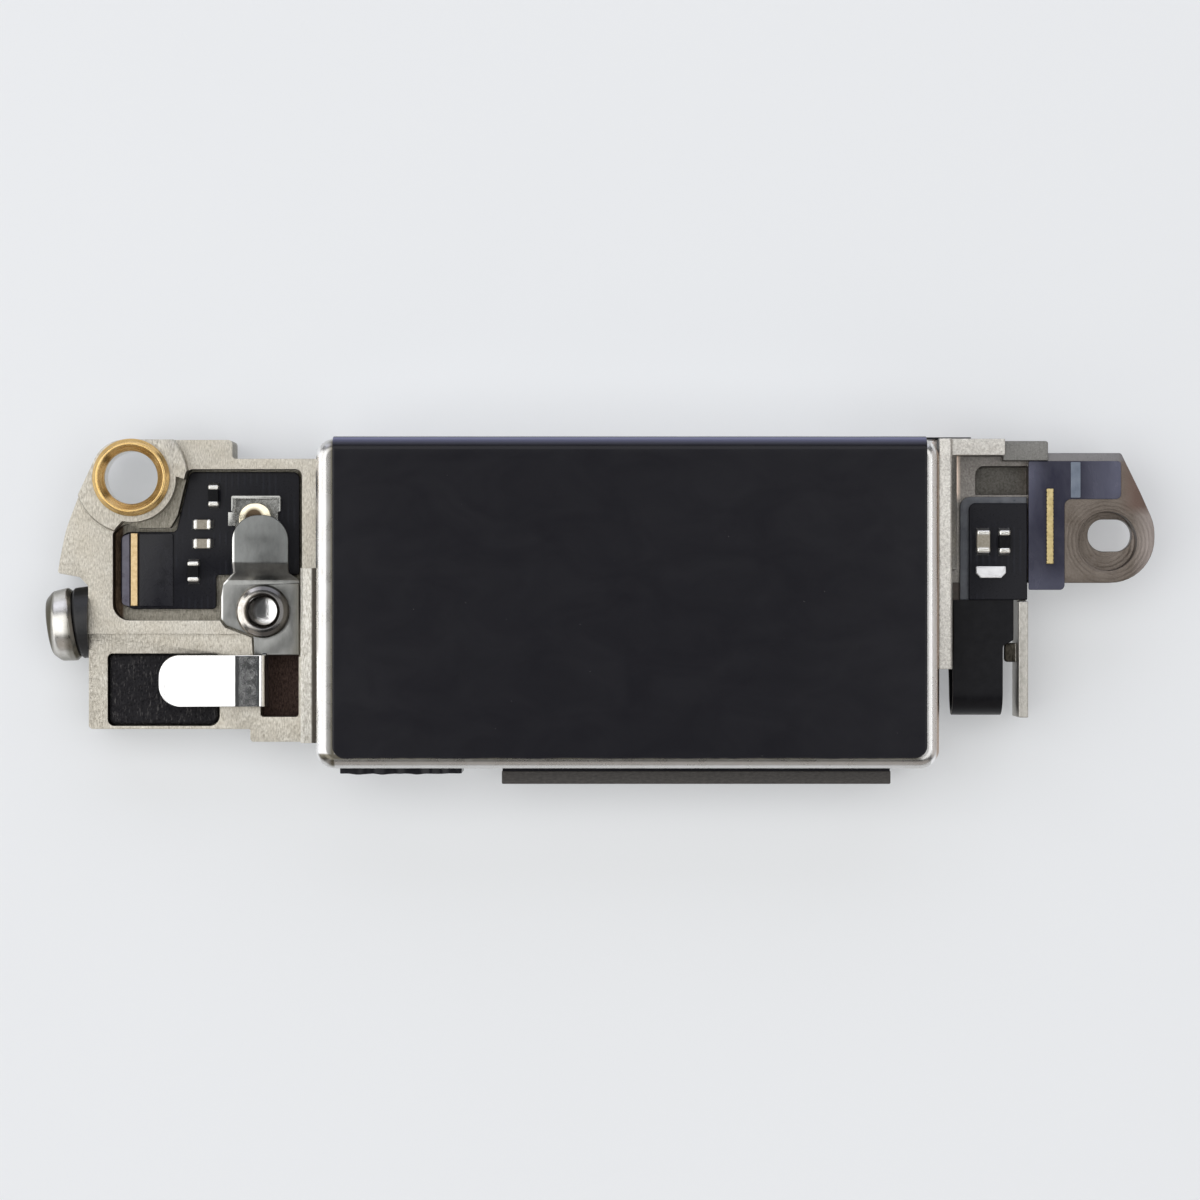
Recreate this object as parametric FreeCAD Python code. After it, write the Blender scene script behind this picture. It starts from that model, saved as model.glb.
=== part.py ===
"""Linear haptic actuator with a mounting bracket at each end. Millimetres, +Z up.

The origin is the centre of the case's underside. +X runs along the case to the
ribbon end, +Y is the side that the label wraps over, and +Z goes out of the lid.
"""
import math
import os

import FreeCAD
import Part

V = FreeCAD.Vector
SAME = 1e-6

# Case: a drawn steel cover closed by a flat base
CASE_X = 18.4
CASE_Y = 9.74
CASE_Z = 3.2
CASE_WALL = 0.2
CASE_CORNER_R = 0.6
LID_EDGE_R = 0.35
BASE_T = 0.3
WALL_X = CASE_X / 2
WALL_Y = CASE_Y / 2
ROOM_X = WALL_X - CASE_WALL
ROOM_Y = WALL_Y - CASE_WALL
ROOM_Z = CASE_Z - CASE_WALL
ROOM_CORNER_R = CASE_CORNER_R - CASE_WALL

# Films and pads stuck to the case
LABEL_T = 0.06
LABEL_X = (-8.69, 8.82)
LABEL_Y0 = -4.58
LABEL_SKIRT_Z = 2.3
LABEL_CORNER_R = 0.35
REAR_TAPE_X = (6.7, 10.2)
REAR_TAPE_Z = (0.9, 2.2)
PAD_T = 0.5
PAD_X = (-3.73, 7.83)
PAD_Z = (0.5, 2.0)
SIDE_TAPE_T = 0.2
SIDE_TAPE_X = (-8.5, -4.9)
SIDE_TAPE_Z = (0.6, 2.6)

# Motor inside the case
STATOR_X = 5.2
STATOR_Y = 3.9
STATOR_T = 0.12
UPPER_STATOR_Z = 2.82
FLEX_T = 0.1
FLEX_Z = BASE_T + STATOR_T
TAIL_Y = (-1.85, -1.05)
TAIL_END_X = 8.9
TAIL_GAP = 0.05
COIL_T = 0.36
COIL_LEG = 1.0
COIL_X = (0.5, 4.7)
COIL_Y = 3.7
COIL_R = 1.1
MASS_X = 6.6
MASS_Y = 4.2
MASS_Z = (0.98, 2.36)
MAGNET_Y = 3.2
MAGNET_SPANS = [(-5.4, -3.0), (-1.5, 1.5), (3.0, 5.4)]
LEAF_T = 0.12
LEAF_Z = (0.98, 2.3)
LEAF_PAD_Y = (2.4, 3.6)
LEAF_FOOT_Y = -3.3
LEAF_FOOT_X = (7.45, 8.15)
WELD_PLATE_T = 0.12
WELD_PLATE_Z = (1.1, 2.2)
BUMPER_X = (7.45, ROOM_X)
BUMPER_Y = (3.75, 4.25)
BUMPER_Z = (1.0, 2.3)
LEAD_T = 0.08
LEAD_X = (4.7, 5.5)
LEAD_Y = 4.53
HALL_X = (6.9, 7.7)

# Left bracket
BRACKET_Z0 = 0.3
LEFT_RIM_Z = 2.0
LEFT_LOW_RIM_Z = 1.85
LEFT_SEAM_Y = -0.91
LEFT_POCKET_Z = 1.3
LEFT_FLANGE_X = -9.65
LEFT_FLANGE_Y = (-4.12, 1.04)
LEFT_LOW_X = (-16.2, LEFT_FLANGE_X)
LEFT_LOW_Y0 = -4.3
FLANGE_Z = 2.9
BUSH_AT = (-14.70, 3.73)
BUSH_HOLE_R = 0.78
BUSH_BARREL_R = 0.95
BUSH_FLANGE_R = 1.15
BUSH_FOOT_Z = 1.6
BUSH_TOP_Z = 2.6
BUSH_RELIEF_R = 1.02
BOSS_R = 1.68
BOSS_Z = 2.35
BOSS_BEVEL = 0.04
LEFT_OUTLINE = [
    (-9.20, 4.30),
    (-11.75, 4.30, 0.1),
    (-11.75, 4.86, 0.12),
    (-15.52, 4.86, 1.0),
    (-16.36, 3.07, 3.0),
    (-16.69, 2.18, 3.0),
    (-16.87, 1.29, 2.0),
    (-16.93, 0.90, 0.08),
    (-16.27, 0.78, 0.15),
    (-16.03, 0.52, 0.1),
    (-16.03, -3.74, 0.12),
    (-11.22, -3.74, 0.05),
    (-11.22, -4.12, 0.1),
    (-9.20, -4.12),
]
LEFT_POCKET = [
    (-15.30, -0.51, 0.5),
    (-9.67, -0.51),
    (-9.67, 3.99, 0.2),
    (-13.07, 3.99, 0.2),
    (-13.40, 2.62, 0.1),
    (-13.61, 2.25, 0.08),
    (-14.55, 2.24, 0.15),
    (-14.96, 2.40, 0.3),
    (-15.30, 2.09, 0.15),
]
BOSS_SHELF_Z = 1.75
BOSS_SHELF_R = 1.32
BOSS_SHELF = [
    (-13.00, 3.64),
    (-13.50, 3.80),
    (-13.95, 2.74),
    (-14.40, 2.66, 0.3),
    (-14.96, 2.46),
    (-15.20, 2.20),
    (-13.20, 2.20),
]
PLATE_SEAT = [
    (-12.13, -0.40),
    (-12.13, -0.50),
    (-11.96, -0.72),
    (-11.18, -1.02),
    (-11.15, -1.59),
    (-9.65, -1.59),
    (-9.65, -0.40),
]
FOAM_X = (-15.44, -12.16)
FOAM_Y = (-3.62, -1.52)
FOAM_SEAT_Z = 1.2
FOAM_TOP_Z = 1.75
FOAM_SEAT_GAP = 0.03
SPRING_WELL_X = (-10.92, -9.78)
SPRING_WELL_Y = (-3.38, -1.48)
SPRING_WELL_Z = 0.8

# Sheet parts on the left bracket
GROUND_T = 0.15
GROUND_Z = 1.70
TONGUE_Z = 2.15
TONGUE_JOGGLE_Y = (0.72, 1.22)
GROUND_OUTLINE = [
    (-9.77, -1.54),
    (-9.77, 0.72, 0.12),
    (-10.06, 0.90, 0.08),
    (-10.06, 2.62, 0.76),
    (-11.72, 2.62, 0.76),
    (-11.72, 0.90, 0.08),
    (-12.03, 0.60, 0.2),
    (-12.09, 0.19, 0.2),
    (-12.09, -0.47, 0.12),
    (-11.93, -0.67, 0.12),
    (-11.13, -0.98, 0.1),
    (-11.10, -1.54),
]
NUT_AT = (-10.84, -0.23)
NUT_BARREL_R = 0.66
NUT_SPACER_R = 0.74
NUT_THREAD_R = 0.47
NUT_FLANGE_R = 0.80
NUT_BLIND_Z = 0.9
NUT_TOP_Z = 2.2
FINGER_T = 0.12
FINGER_Y = (-3.07, -1.53)
FINGER_ROOT_X = -10.80
FINGER_ROOT_Z = 1.95
ROOT_FOOT_Z = 1.2
FINGER_GAP = 0.05
FINGER_BEND_X = -11.60
FINGER_RISE = 0.27
FINGER_LIFT = 0.38
FINGER_TIP_X = -13.86
CLIP_X = (-11.78, -10.32)
CLIP_Y = (2.72, 3.20)
CLIP_FINGER_X = (-11.54, -10.59)
CLIP_FINGER_T = 0.07
CLIP_FINGER_PATH = [(1.50, 1.76), (2.15, 2.07, 0.5), (2.96, 1.92)]
CLIP_NOSE_R = 0.42
CLIP_T = 0.07
CLIP_LIP = 0.1
CLIP_RISER_Y = (1.45, 1.55)
CLIP_LEG_Y = (2.31, 2.72)

# Left flexible board and what sits on it
BOARD_T = 0.25
LEFT_BOARD_Z = LEFT_POCKET_Z + BOARD_T
LEFT_BOARD = [
    (-15.12, -0.17, 0.45),
    (-12.27, -0.17, 0.12),
    (-12.27, 0.85, 0.1),
    (-9.78, 0.85, 0.1),
    (-9.78, 3.92, 0.2),
    (-13.04, 3.92, 0.15),
    (-13.46, 2.13, 0.15),
    (-15.12, 2.13, 0.3),
]
LEFT_STIFFENER_X = (-15.08, -14.85)
LEFT_FILM = (-14.57, -13.55, -0.10, 2.08)
LEFT_GOLD_BAR = (-14.81, -14.60, -0.08, 2.10)
FILM_T = 0.05
GOLD_T = 0.12

# Side screw, held a little askew in its collar
SCREW_AT = V(-16.03, -0.545, 1.25)
SCREW_SKEW = 7.7
SCREW_HEAD_R = 1.10
SCREW_HEAD = (-1.27, -0.53)
SOCKET_R = 0.5
SOCKET_DEPTH = 0.25
SCREW_SHANK_R = 0.38
SCREW_SHANK_END = 0.5
SCREW_HOLE_R = 0.45
SCREW_HOLE_DEPTH = 0.6
SCREW_CLEARANCE = 0.5
COLLAR_R = 1.06
COLLAR_OUT = 0.50
COLLAR_IN = 0.3

# Chips: centre x, centre y, size along x, size along y
CHIP_H = 0.3
LEFT_CAPACITORS = [(-12.66, 2.35, 0.65, 0.32), (-12.66, 1.78, 0.65, 0.32)]
LEFT_RESISTORS = [(-12.33, 3.21, 0.34, 0.78), (-12.93, 0.95, 0.36, 0.74)]
RIGHT_CAPACITORS = [(10.57, 1.84, 0.42, 0.80)]
RIGHT_RESISTORS = [(11.20, 1.83, 0.36, 0.82)]
TERMINAL_SHARE = 0.27
BRIGHT_CHIP_T = 0.25
BRIGHT_CHIP = [
    (10.50, 0.76),
    (11.10, 0.76),
    (11.235, 0.90),
    (11.235, 1.10),
    (10.365, 1.10),
    (10.365, 0.90),
]

# Right bracket
RIGHT_FLANGE_X = 9.59
RIGHT_FLANGE_Y = (-1.94, WALL_Y)
RIGHT_FLOOR_X1 = 11.95
RIGHT_FLOOR_Y = (0.61, 4.38)
RIGHT_FLOOR_Z = 1.75
RIGHT_UNDER_Z = 0.9
RIB_T = 0.16
RIB_Y0 = 1.0
ARM_X1 = 11.16
ARM_Z = 2.7
STEP_X1 = 12.49
STEP_Y0 = 4.24
STEP_Z = 2.2
EAR_Z = (1.0, 2.0)
EAR_BORE_AT = (14.28, 1.85)
EAR_BORE_R = 0.88
EAR_BORE_Z = 1.45
EAR_SLOT_AT = (14.42, 2.03)
EAR_SLOT = (1.32, 0.96)
EAR_OUTLINE = [
    (11.95, 4.47),
    (14.68, 4.47, 0.1),
    (15.25, 3.31, 1.0),
    (15.68, 2.35, 1.3),
    (15.68, 0.61, 1.32),
    (11.95, 0.61),
]
RIGHT_RECESS = [(10.38, 3.24), (11.95, 3.24), (11.95, 4.08), (10.38, 4.08, 0.25)]
RIGHT_RECESS_Z = 1.3

# Right flexible board, its ribbon and films
RIGHT_STIFFENER_X = (9.91, 11.90)
RIGHT_STIFFENER_Y = (0.10, 3.17)
RIGHT_BOARD_X = (10.16, 11.90)
RIGHT_BOARD_Y = (0.10, 2.98)
RIGHT_STIFFENER_T = 0.08
RIGHT_BOARD_T = 0.15
RIGHT_STIFFENER_Z = RIGHT_FLOOR_Z + RIGHT_STIFFENER_T
RIGHT_BOARD_Z = RIGHT_STIFFENER_Z + RIGHT_BOARD_T
RIBBON_X = (9.75, 11.18)
RIBBON_WING_X = 11.50
RIBBON_WING_Y = -1.2
RIBBON_TOP_Z = 1.90
RIBBON_START_Y = 0.10
RIBBON_TURN_Y = -2.60
RIGHT_FILM = [
    (11.93, 0.40, 0.05),
    (13.00, 0.40, 0.15),
    (13.00, 3.10, 0.2),
    (14.68, 3.10, 0.15),
    (14.68, 4.23, 0.1),
    (11.93, 4.23, 0.05),
]
RIGHT_GOLD_BAR = (12.45, 12.66, 1.17, 3.41)
FILM_STRIP = (13.18, 13.47, 3.14, 4.20)
FILM_STRIP_T = 0.03
LEG_X = (11.62, 11.90)
HOOK_X0 = 11.27
HOOK_Y = (-1.75, -1.18)
HOOK_Z = (1.25, 1.55)
LEG_SIDE = [(-3.39, 0.4), (0.61, 0.4), (0.61, 1.70), (0.06, 1.70), (0.06, 2.2), (-3.39, 2.2)]


def wire(corners, place):
    """A closed loop through the corners; a corner's third number is its radius."""
    ends = []
    edges = []
    for i, corner in enumerate(corners):
        here = place(*corner[:2])
        back = (place(*corners[i - 1][:2]) - here).normalize()
        ahead = (place(*corners[(i + 1) % len(corners)][:2]) - here).normalize()
        radius = corner[2] if len(corner) > 2 else 0.0
        if radius == 0.0:
            ends.append((here, here))
            continue
        half = back.getAngle(ahead) / 2
        reach = radius / math.tan(half)
        inward = (back + ahead).normalize()
        middle = here + inward * (radius / math.sin(half) - radius)
        start = here + back * reach
        end = here + ahead * reach
        ends.append((start, end))
        edges.append(Part.Arc(start, middle, end).toShape())
    for i, (_, end) in enumerate(ends):
        start = ends[(i + 1) % len(ends)][0]
        if end.distanceToPoint(start) > SAME:
            edges.append(Part.makeLine(end, start))
    return Part.Wire(Part.__sortEdges__(edges))


def plate(corners, z0, z1):
    """A flat piece with this plan between two heights."""
    loop = wire(corners, lambda x, y: V(x, y, z0))
    return Part.Face(loop).extrude(V(0, 0, z1 - z0))


def along_x(corners, x0, x1):
    """A bar with this Y-Z section."""
    loop = wire(corners, lambda y, z: V(x0, y, z))
    return Part.Face(loop).extrude(V(x1 - x0, 0, 0))


def along_y(corners, y0, y1):
    """A bar with this X-Z section."""
    loop = wire(corners, lambda x, z: V(x, y0, z))
    return Part.Face(loop).extrude(V(0, y1 - y0, 0))


def turned(profile, x, y):
    """A solid turned about the upright axis through x, y, from radii and heights."""
    loop = wire(profile, lambda r, z: V(r, 0, z))
    solid = Part.Face(loop).revolve(V(0, 0, 0), V(0, 0, 1), 360)
    solid.translate(V(x, y, 0))
    return solid


def block(x0, x1, y0, y1, z0, z1):
    """A square-edged block."""
    return Part.makeBox(x1 - x0, y1 - y0, z1 - z0, V(x0, y0, z0))


def disc(at, radius, z0, z1):
    """An upright cylinder."""
    return Part.makeCylinder(radius, z1 - z0, V(at[0], at[1], z0))


def rectangle(x0, x1, y0, y1, radius=0.0):
    """The four corners of a rectangle."""
    return [(x0, y0, radius), (x1, y0, radius), (x1, y1, radius), (x0, y1, radius)]


def sheet(path, thickness):
    """The section of bent sheet whose middle line follows the path."""
    left = []
    right = []
    for i, point in enumerate(path):
        here = V(point[0], point[1], 0)
        into = here - V(*path[i - 1][:2], 0) if i > 0 else None
        onward = V(*path[i + 1][:2], 0) - here if i + 1 < len(path) else None
        into = (into or onward).normalize()
        onward = (onward or into).normalize()
        side_in = V(-into.y, into.x, 0)
        side_on = V(-onward.y, onward.x, 0)
        shift = (side_in + side_on) * (thickness / 2 / (1 + side_in.dot(side_on)))
        radius = point[2] if len(point) > 2 else 0.0
        turn = math.copysign(thickness / 2, into.cross(onward).z)
        left.append((here.x + shift.x, here.y + shift.y, max(radius - turn, 0.0) if radius else 0.0))
        right.append((here.x - shift.x, here.y - shift.y, max(radius + turn, 0.0) if radius else 0.0))
    return left + right[::-1]


def fused(first, *others):
    """One solid from pieces that meet or overlap."""
    return first.multiFuse(list(others)).removeSplitter()


def round_lid(solid, radius):
    """Round the edges of the top face."""
    top = solid.BoundBox.ZMax
    edges = [e for e in solid.Edges if all(abs(v.Z - top) < SAME for v in e.Vertexes)]
    return solid.makeFillet(radius, edges)


def tail_slot(x0, x1, z0):
    """Clearance for the flexible tail where it passes through a wall."""
    return block(x0, x1, TAIL_Y[0] - TAIL_GAP, TAIL_Y[1] + TAIL_GAP, z0, FLEX_Z + FLEX_T + TAIL_GAP)


def can_cover():
    """Drawn cover with a slit in its right wall for the flexible tail."""
    outside = round_lid(
        plate(rectangle(-WALL_X, WALL_X, -WALL_Y, WALL_Y, CASE_CORNER_R), 0, CASE_Z),
        LID_EDGE_R,
    )
    inside = round_lid(
        plate(rectangle(-ROOM_X, ROOM_X, -ROOM_Y, ROOM_Y, ROOM_CORNER_R), 0, ROOM_Z),
        LID_EDGE_R - CASE_WALL,
    )
    return outside.cut(inside).cut(tail_slot(ROOM_X - CASE_WALL, WALL_X + CASE_WALL, FLEX_Z - TAIL_GAP))


def base_plate():
    """Flat base welded inside the foot of the cover."""
    return plate(rectangle(-ROOM_X, ROOM_X, -ROOM_Y, ROOM_Y, ROOM_CORNER_R), 0, BASE_T)


def cover_label():
    """Black film over the lid that wraps down the +Y wall."""
    height = CASE_Z + LABEL_T / 2
    outer_y = WALL_Y + LABEL_T / 2
    path = [(LABEL_Y0, height), (outer_y, height, LID_EDGE_R + LABEL_T / 2), (outer_y, LABEL_SKIRT_Z)]
    film = along_x(sheet(path, LABEL_T), *LABEL_X)
    plan = [
        (LABEL_X[0], LABEL_Y0, LABEL_CORNER_R),
        (LABEL_X[1], LABEL_Y0, LABEL_CORNER_R),
        (LABEL_X[1], CASE_Y),
        (LABEL_X[0], CASE_Y),
    ]
    return film.common(plate(plan, 0, 2 * CASE_Z))


def rear_wall_tape():
    """Thin tape on the +Y wall that runs on over the right bracket's arm."""
    return block(*REAR_TAPE_X, WALL_Y, WALL_Y + LABEL_T, *REAR_TAPE_Z)


def long_side_pad():
    """Thick adhesive pad along the -Y wall."""
    return block(*PAD_X, -WALL_Y - PAD_T, -WALL_Y, *PAD_Z)


def short_side_tape():
    """Short tape on the -Y wall beside the pad."""
    return block(*SIDE_TAPE_X, -WALL_Y - SIDE_TAPE_T, -WALL_Y, *SIDE_TAPE_Z)


def lower_stator_plate():
    """Soft iron sheet under the lower coils."""
    return block(-STATOR_X, STATOR_X, -STATOR_Y, STATOR_Y, BASE_T, FLEX_Z)


def upper_stator_plate():
    """Soft iron sheet over the upper coils, against the lid."""
    return block(-STATOR_X, STATOR_X, -STATOR_Y, STATOR_Y, UPPER_STATOR_Z, ROOM_Z)


def coil_flex():
    """Flexible board under the coils, with a tail that leaves through the slit."""
    edge_x = STATOR_X + 0.4
    edge_y = STATOR_Y + 0.2
    sheet_part = block(-edge_x, edge_x, -edge_y, edge_y, FLEX_Z, FLEX_Z + FLEX_T)
    tail = block(edge_x, TAIL_END_X, *TAIL_Y, FLEX_Z, FLEX_Z + FLEX_T)
    lead_tab = block(*LEAD_X, edge_y, LEAD_Y, FLEX_Z, FLEX_Z + FLEX_T)
    return fused(sheet_part, tail, lead_tab)


def coil_pair(z0):
    """Two racetrack windings side by side."""
    coils = []
    for side in (-1, 1):
        x0, x1 = sorted((side * COIL_X[0], side * COIL_X[1]))
        outer = plate(rectangle(x0, x1, -COIL_Y, COIL_Y, COIL_R), z0, z0 + COIL_T)
        eye_y = COIL_Y - COIL_LEG
        eye = rectangle(x0 + COIL_LEG, x1 - COIL_LEG, -eye_y, eye_y, COIL_R - COIL_LEG)
        coils.append(outer.cut(plate(eye, z0, z0 + COIL_T)))
    return Part.makeCompound(coils)


def lower_coils():
    """Windings under the moving mass."""
    return coil_pair(FLEX_Z + FLEX_T)


def upper_coils():
    """Windings over the moving mass."""
    return coil_pair(UPPER_STATOR_Z - COIL_T)


def upper_coil_lead():
    """Folded strip that feeds the upper coils from the flexible board."""
    upright_y = LEAD_Y - LEAD_T / 2
    top = UPPER_STATOR_Z - LEAD_T / 2
    path = [
        (upright_y, FLEX_Z + FLEX_T),
        (upright_y, top, 0.1),
        (COIL_Y - 0.5, top),
    ]
    return along_x(sheet(path, LEAD_T), *LEAD_X)


def moving_mass():
    """Tungsten frame with three windows for the magnets."""
    body = plate(rectangle(-MASS_X, MASS_X, -MASS_Y, MASS_Y, 0.3), *MASS_Z)
    for x0, x1 in MAGNET_SPANS:
        body = body.cut(block(x0, x1, -MAGNET_Y, MAGNET_Y, *MASS_Z))
    return body


def magnets():
    """Three magnets, glued into the mass."""
    return Part.makeCompound([block(x0, x1, -MAGNET_Y, MAGNET_Y, *MASS_Z) for x0, x1 in MAGNET_SPANS])


def leaf_spring(side):
    """V-shaped leaf between the mass and an end wall; the two ends are turned end for end."""
    mass_x = MASS_X + WELD_PLATE_T + LEAF_T / 2
    wall_x = ROOM_X - WELD_PLATE_T - LEAF_T / 2
    foot_r = 0.3
    path = [
        (mass_x, LEAF_PAD_Y[1]),
        (mass_x, LEAF_PAD_Y[0], 0.6),
        (LEAF_FOOT_X[0], LEAF_FOOT_Y, foot_r),
        (LEAF_FOOT_X[1], LEAF_FOOT_Y, foot_r),
        (wall_x, LEAF_PAD_Y[0], 0.6),
        (wall_x, LEAF_PAD_Y[1]),
    ]
    turned_path = [(side * p[0], side * p[1], *p[2:]) for p in path]
    return plate(sheet(turned_path, LEAF_T), *LEAF_Z)


def weld_plates(x0, x1):
    """The backing plates that clamp one end of both leaves."""
    plates = []
    for side in (-1, 1):
        xs = sorted((side * x0, side * x1))
        ys = sorted((side * LEAF_PAD_Y[0], side * LEAF_PAD_Y[1]))
        plates.append(block(*xs, *ys, *WELD_PLATE_Z))
    return Part.makeCompound(plates)


def mass_weld_plates():
    """Plates on the mass."""
    return weld_plates(MASS_X, MASS_X + WELD_PLATE_T)


def wall_weld_plates():
    """Plates on the end walls."""
    return weld_plates(ROOM_X - WELD_PLATE_T, ROOM_X)


def end_bumpers():
    """Four rubber blocks that the mass meets if it overruns."""
    blocks = []
    for side_x in (-1, 1):
        for side_y in (-1, 1):
            xs = sorted((side_x * BUMPER_X[0], side_x * BUMPER_X[1]))
            ys = sorted((side_y * BUMPER_Y[0], side_y * BUMPER_Y[1]))
            blocks.append(block(*xs, *ys, *BUMPER_Z))
    return Part.makeCompound(blocks)


def hall_sensor():
    """Position sensor on the flexible tail."""
    margin = 0.05
    z0 = FLEX_Z + FLEX_T
    return block(*HALL_X, TAIL_Y[0] + margin, TAIL_Y[1] - margin, z0, z0 + CHIP_H)


def screw_frame(solid):
    """Lay a solid turned about +Z along the side screw's axis."""
    solid.rotate(V(0, 0, 0), V(0, 1, 0), 90)
    solid.rotate(V(0, 0, 0), V(0, 0, 1), SCREW_SKEW)
    solid.translate(SCREW_AT)
    return solid


def left_boss():
    """The boss around the brass bush, trimmed to the outline and lowered beside the pocket."""
    profile = [
        (0.0, BRACKET_Z0),
        (BOSS_R, BRACKET_Z0),
        (BOSS_R, BOSS_Z - BOSS_BEVEL),
        (BOSS_R - BOSS_BEVEL, BOSS_Z),
        (0.0, BOSS_Z),
    ]
    return turned(profile, *BUSH_AT).common(plate(LEFT_OUTLINE, BRACKET_Z0, BOSS_Z))


def boss_shelf():
    """What is taken off beside the boss, towards the board and below."""
    kept = disc(BUSH_AT, BOSS_SHELF_R, BOSS_SHELF_Z, FLANGE_Z)
    return plate(BOSS_SHELF, BOSS_SHELF_Z, FLANGE_Z).cut(kept)


def left_flange():
    """Upright flange welded to the case's left wall."""
    bevel = 0.08
    section = [
        (LEFT_FLANGE_X, BRACKET_Z0),
        (-WALL_X, BRACKET_Z0),
        (-WALL_X, FLANGE_Z),
        (LEFT_FLANGE_X + bevel, FLANGE_Z),
        (LEFT_FLANGE_X, FLANGE_Z - bevel),
    ]
    return along_y(section, *LEFT_FLANGE_Y)


def foam_plan(gap):
    """The foam's plan, grown by the gap."""
    x0 = FOAM_X[0] - gap
    x1 = FOAM_X[1] + gap
    y0 = FOAM_Y[0] - gap
    y1 = FOAM_Y[1] + gap
    return [(x0, y0, 0.2), (x1, y0, 0.3), (x1, y1, 0.15), (x0, y1, 0.15)]


def left_bracket():
    """Left bracket: board pocket, foam recess, spring well and bush boss."""
    body = fused(plate(LEFT_OUTLINE, BRACKET_Z0, LEFT_RIM_Z), left_boss())
    body = body.cut(block(*LEFT_LOW_X, LEFT_LOW_Y0, LEFT_SEAM_Y, LEFT_LOW_RIM_Z, BOSS_Z))
    body = fused(body, left_flange())
    body = body.cut(plate(LEFT_POCKET, LEFT_POCKET_Z, FLANGE_Z)).cut(boss_shelf())
    body = body.cut(plate(PLATE_SEAT, GROUND_Z, FLANGE_Z))
    body = body.cut(plate(foam_plan(FOAM_SEAT_GAP), FOAM_SEAT_Z, BOSS_Z))
    well = rectangle(*SPRING_WELL_X, *SPRING_WELL_Y, 0.1)
    body = body.cut(plate(well, SPRING_WELL_Z, BOSS_Z))
    body = body.cut(disc(BUSH_AT, BUSH_BARREL_R, BUSH_FOOT_Z, BOSS_Z))
    body = body.cut(disc(BUSH_AT, BUSH_RELIEF_R, BRACKET_Z0, BUSH_FOOT_Z))
    body = body.cut(disc(NUT_AT, NUT_BARREL_R, BRACKET_Z0, LEFT_POCKET_Z))
    body = body.cut(disc(NUT_AT, NUT_SPACER_R, LEFT_POCKET_Z, GROUND_Z))
    screw_hole = Part.makeCylinder(SCREW_HOLE_R, SCREW_HOLE_DEPTH + SCREW_CLEARANCE, V(0, 0, -SCREW_CLEARANCE))
    return body.cut(screw_frame(screw_hole))


def left_bush():
    """Brass bush with a flange, pressed into the boss."""
    lead_in = 0.19
    crest_r = 1.02
    profile = [
        (BUSH_HOLE_R, BUSH_FOOT_Z),
        (BUSH_BARREL_R, BUSH_FOOT_Z),
        (BUSH_BARREL_R, BOSS_Z),
        (BUSH_FLANGE_R, BOSS_Z),
        (BUSH_FLANGE_R, BUSH_TOP_Z - 0.12, 0.04),
        (crest_r, BUSH_TOP_Z, 0.04),
        (BUSH_HOLE_R + lead_in, BUSH_TOP_Z),
        (BUSH_HOLE_R, BUSH_TOP_Z - lead_in),
    ]
    return turned(profile, *BUSH_AT)


def left_flex_board():
    """Black flexible board on the pocket floor."""
    return plate(LEFT_BOARD, LEFT_POCKET_Z, LEFT_BOARD_Z)


def left_stiffener():
    """Pale strip at the board's left edge."""
    x0, x1 = LEFT_STIFFENER_X
    strip = [(x0, -0.02, 0.12), (x1, -0.10), (x1, 2.08), (x0, 2.00, 0.12)]
    return plate(strip, LEFT_BOARD_Z, LEFT_BOARD_Z + FILM_T)


def left_cover_film():
    """Glossy film on the board beside the gold contact bar."""
    return plate(rectangle(*LEFT_FILM, 0.06), LEFT_BOARD_Z, LEFT_BOARD_Z + FILM_T)


def left_gold_bar():
    """Gold contact bar across the board."""
    return plate(rectangle(*LEFT_GOLD_BAR, 0.04), LEFT_BOARD_Z, LEFT_BOARD_Z + GOLD_T)


def chip_spans(chip):
    """Body and two end terminals of a chip, as plan rectangles."""
    cx, cy, size_x, size_y = chip
    long_x = size_x > size_y
    half = max(size_x, size_y) / 2
    side = min(size_x, size_y) / 2
    cap = 2 * half * TERMINAL_SHARE
    spans = [(-half + cap, half - cap), (-half, -half + cap), (half - cap, half)]
    if long_x:
        return [(cx + a, cx + b, cy - side, cy + side) for a, b in spans]
    return [(cx - side, cx + side, cy + a, cy + b) for a, b in spans]


def chip_bodies(left, right):
    """The bodies of the chips on the two boards."""
    solids = [block(*chip_spans(c)[0], LEFT_BOARD_Z, LEFT_BOARD_Z + CHIP_H) for c in left]
    solids += [block(*chip_spans(c)[0], RIGHT_BOARD_Z, RIGHT_BOARD_Z + CHIP_H) for c in right]
    return Part.makeCompound(solids)


def chip_capacitors():
    """Pale ceramic capacitor bodies."""
    return chip_bodies(LEFT_CAPACITORS, RIGHT_CAPACITORS)


def chip_resistors():
    """Black resistor bodies."""
    return chip_bodies(LEFT_RESISTORS, RIGHT_RESISTORS)


def chip_terminals():
    """Tinned ends of every chip."""
    solids = []
    for chips, z0 in (
        (LEFT_CAPACITORS + LEFT_RESISTORS, LEFT_BOARD_Z),
        (RIGHT_CAPACITORS + RIGHT_RESISTORS, RIGHT_BOARD_Z),
    ):
        for chip in chips:
            solids += [block(*span, z0, z0 + CHIP_H) for span in chip_spans(chip)[1:]]
    return Part.makeCompound(solids)


def bright_chip():
    """Small bare chip with a mirror-like face on the right board."""
    return plate(BRIGHT_CHIP, RIGHT_BOARD_Z, RIGHT_BOARD_Z + BRIGHT_CHIP_T)


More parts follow.
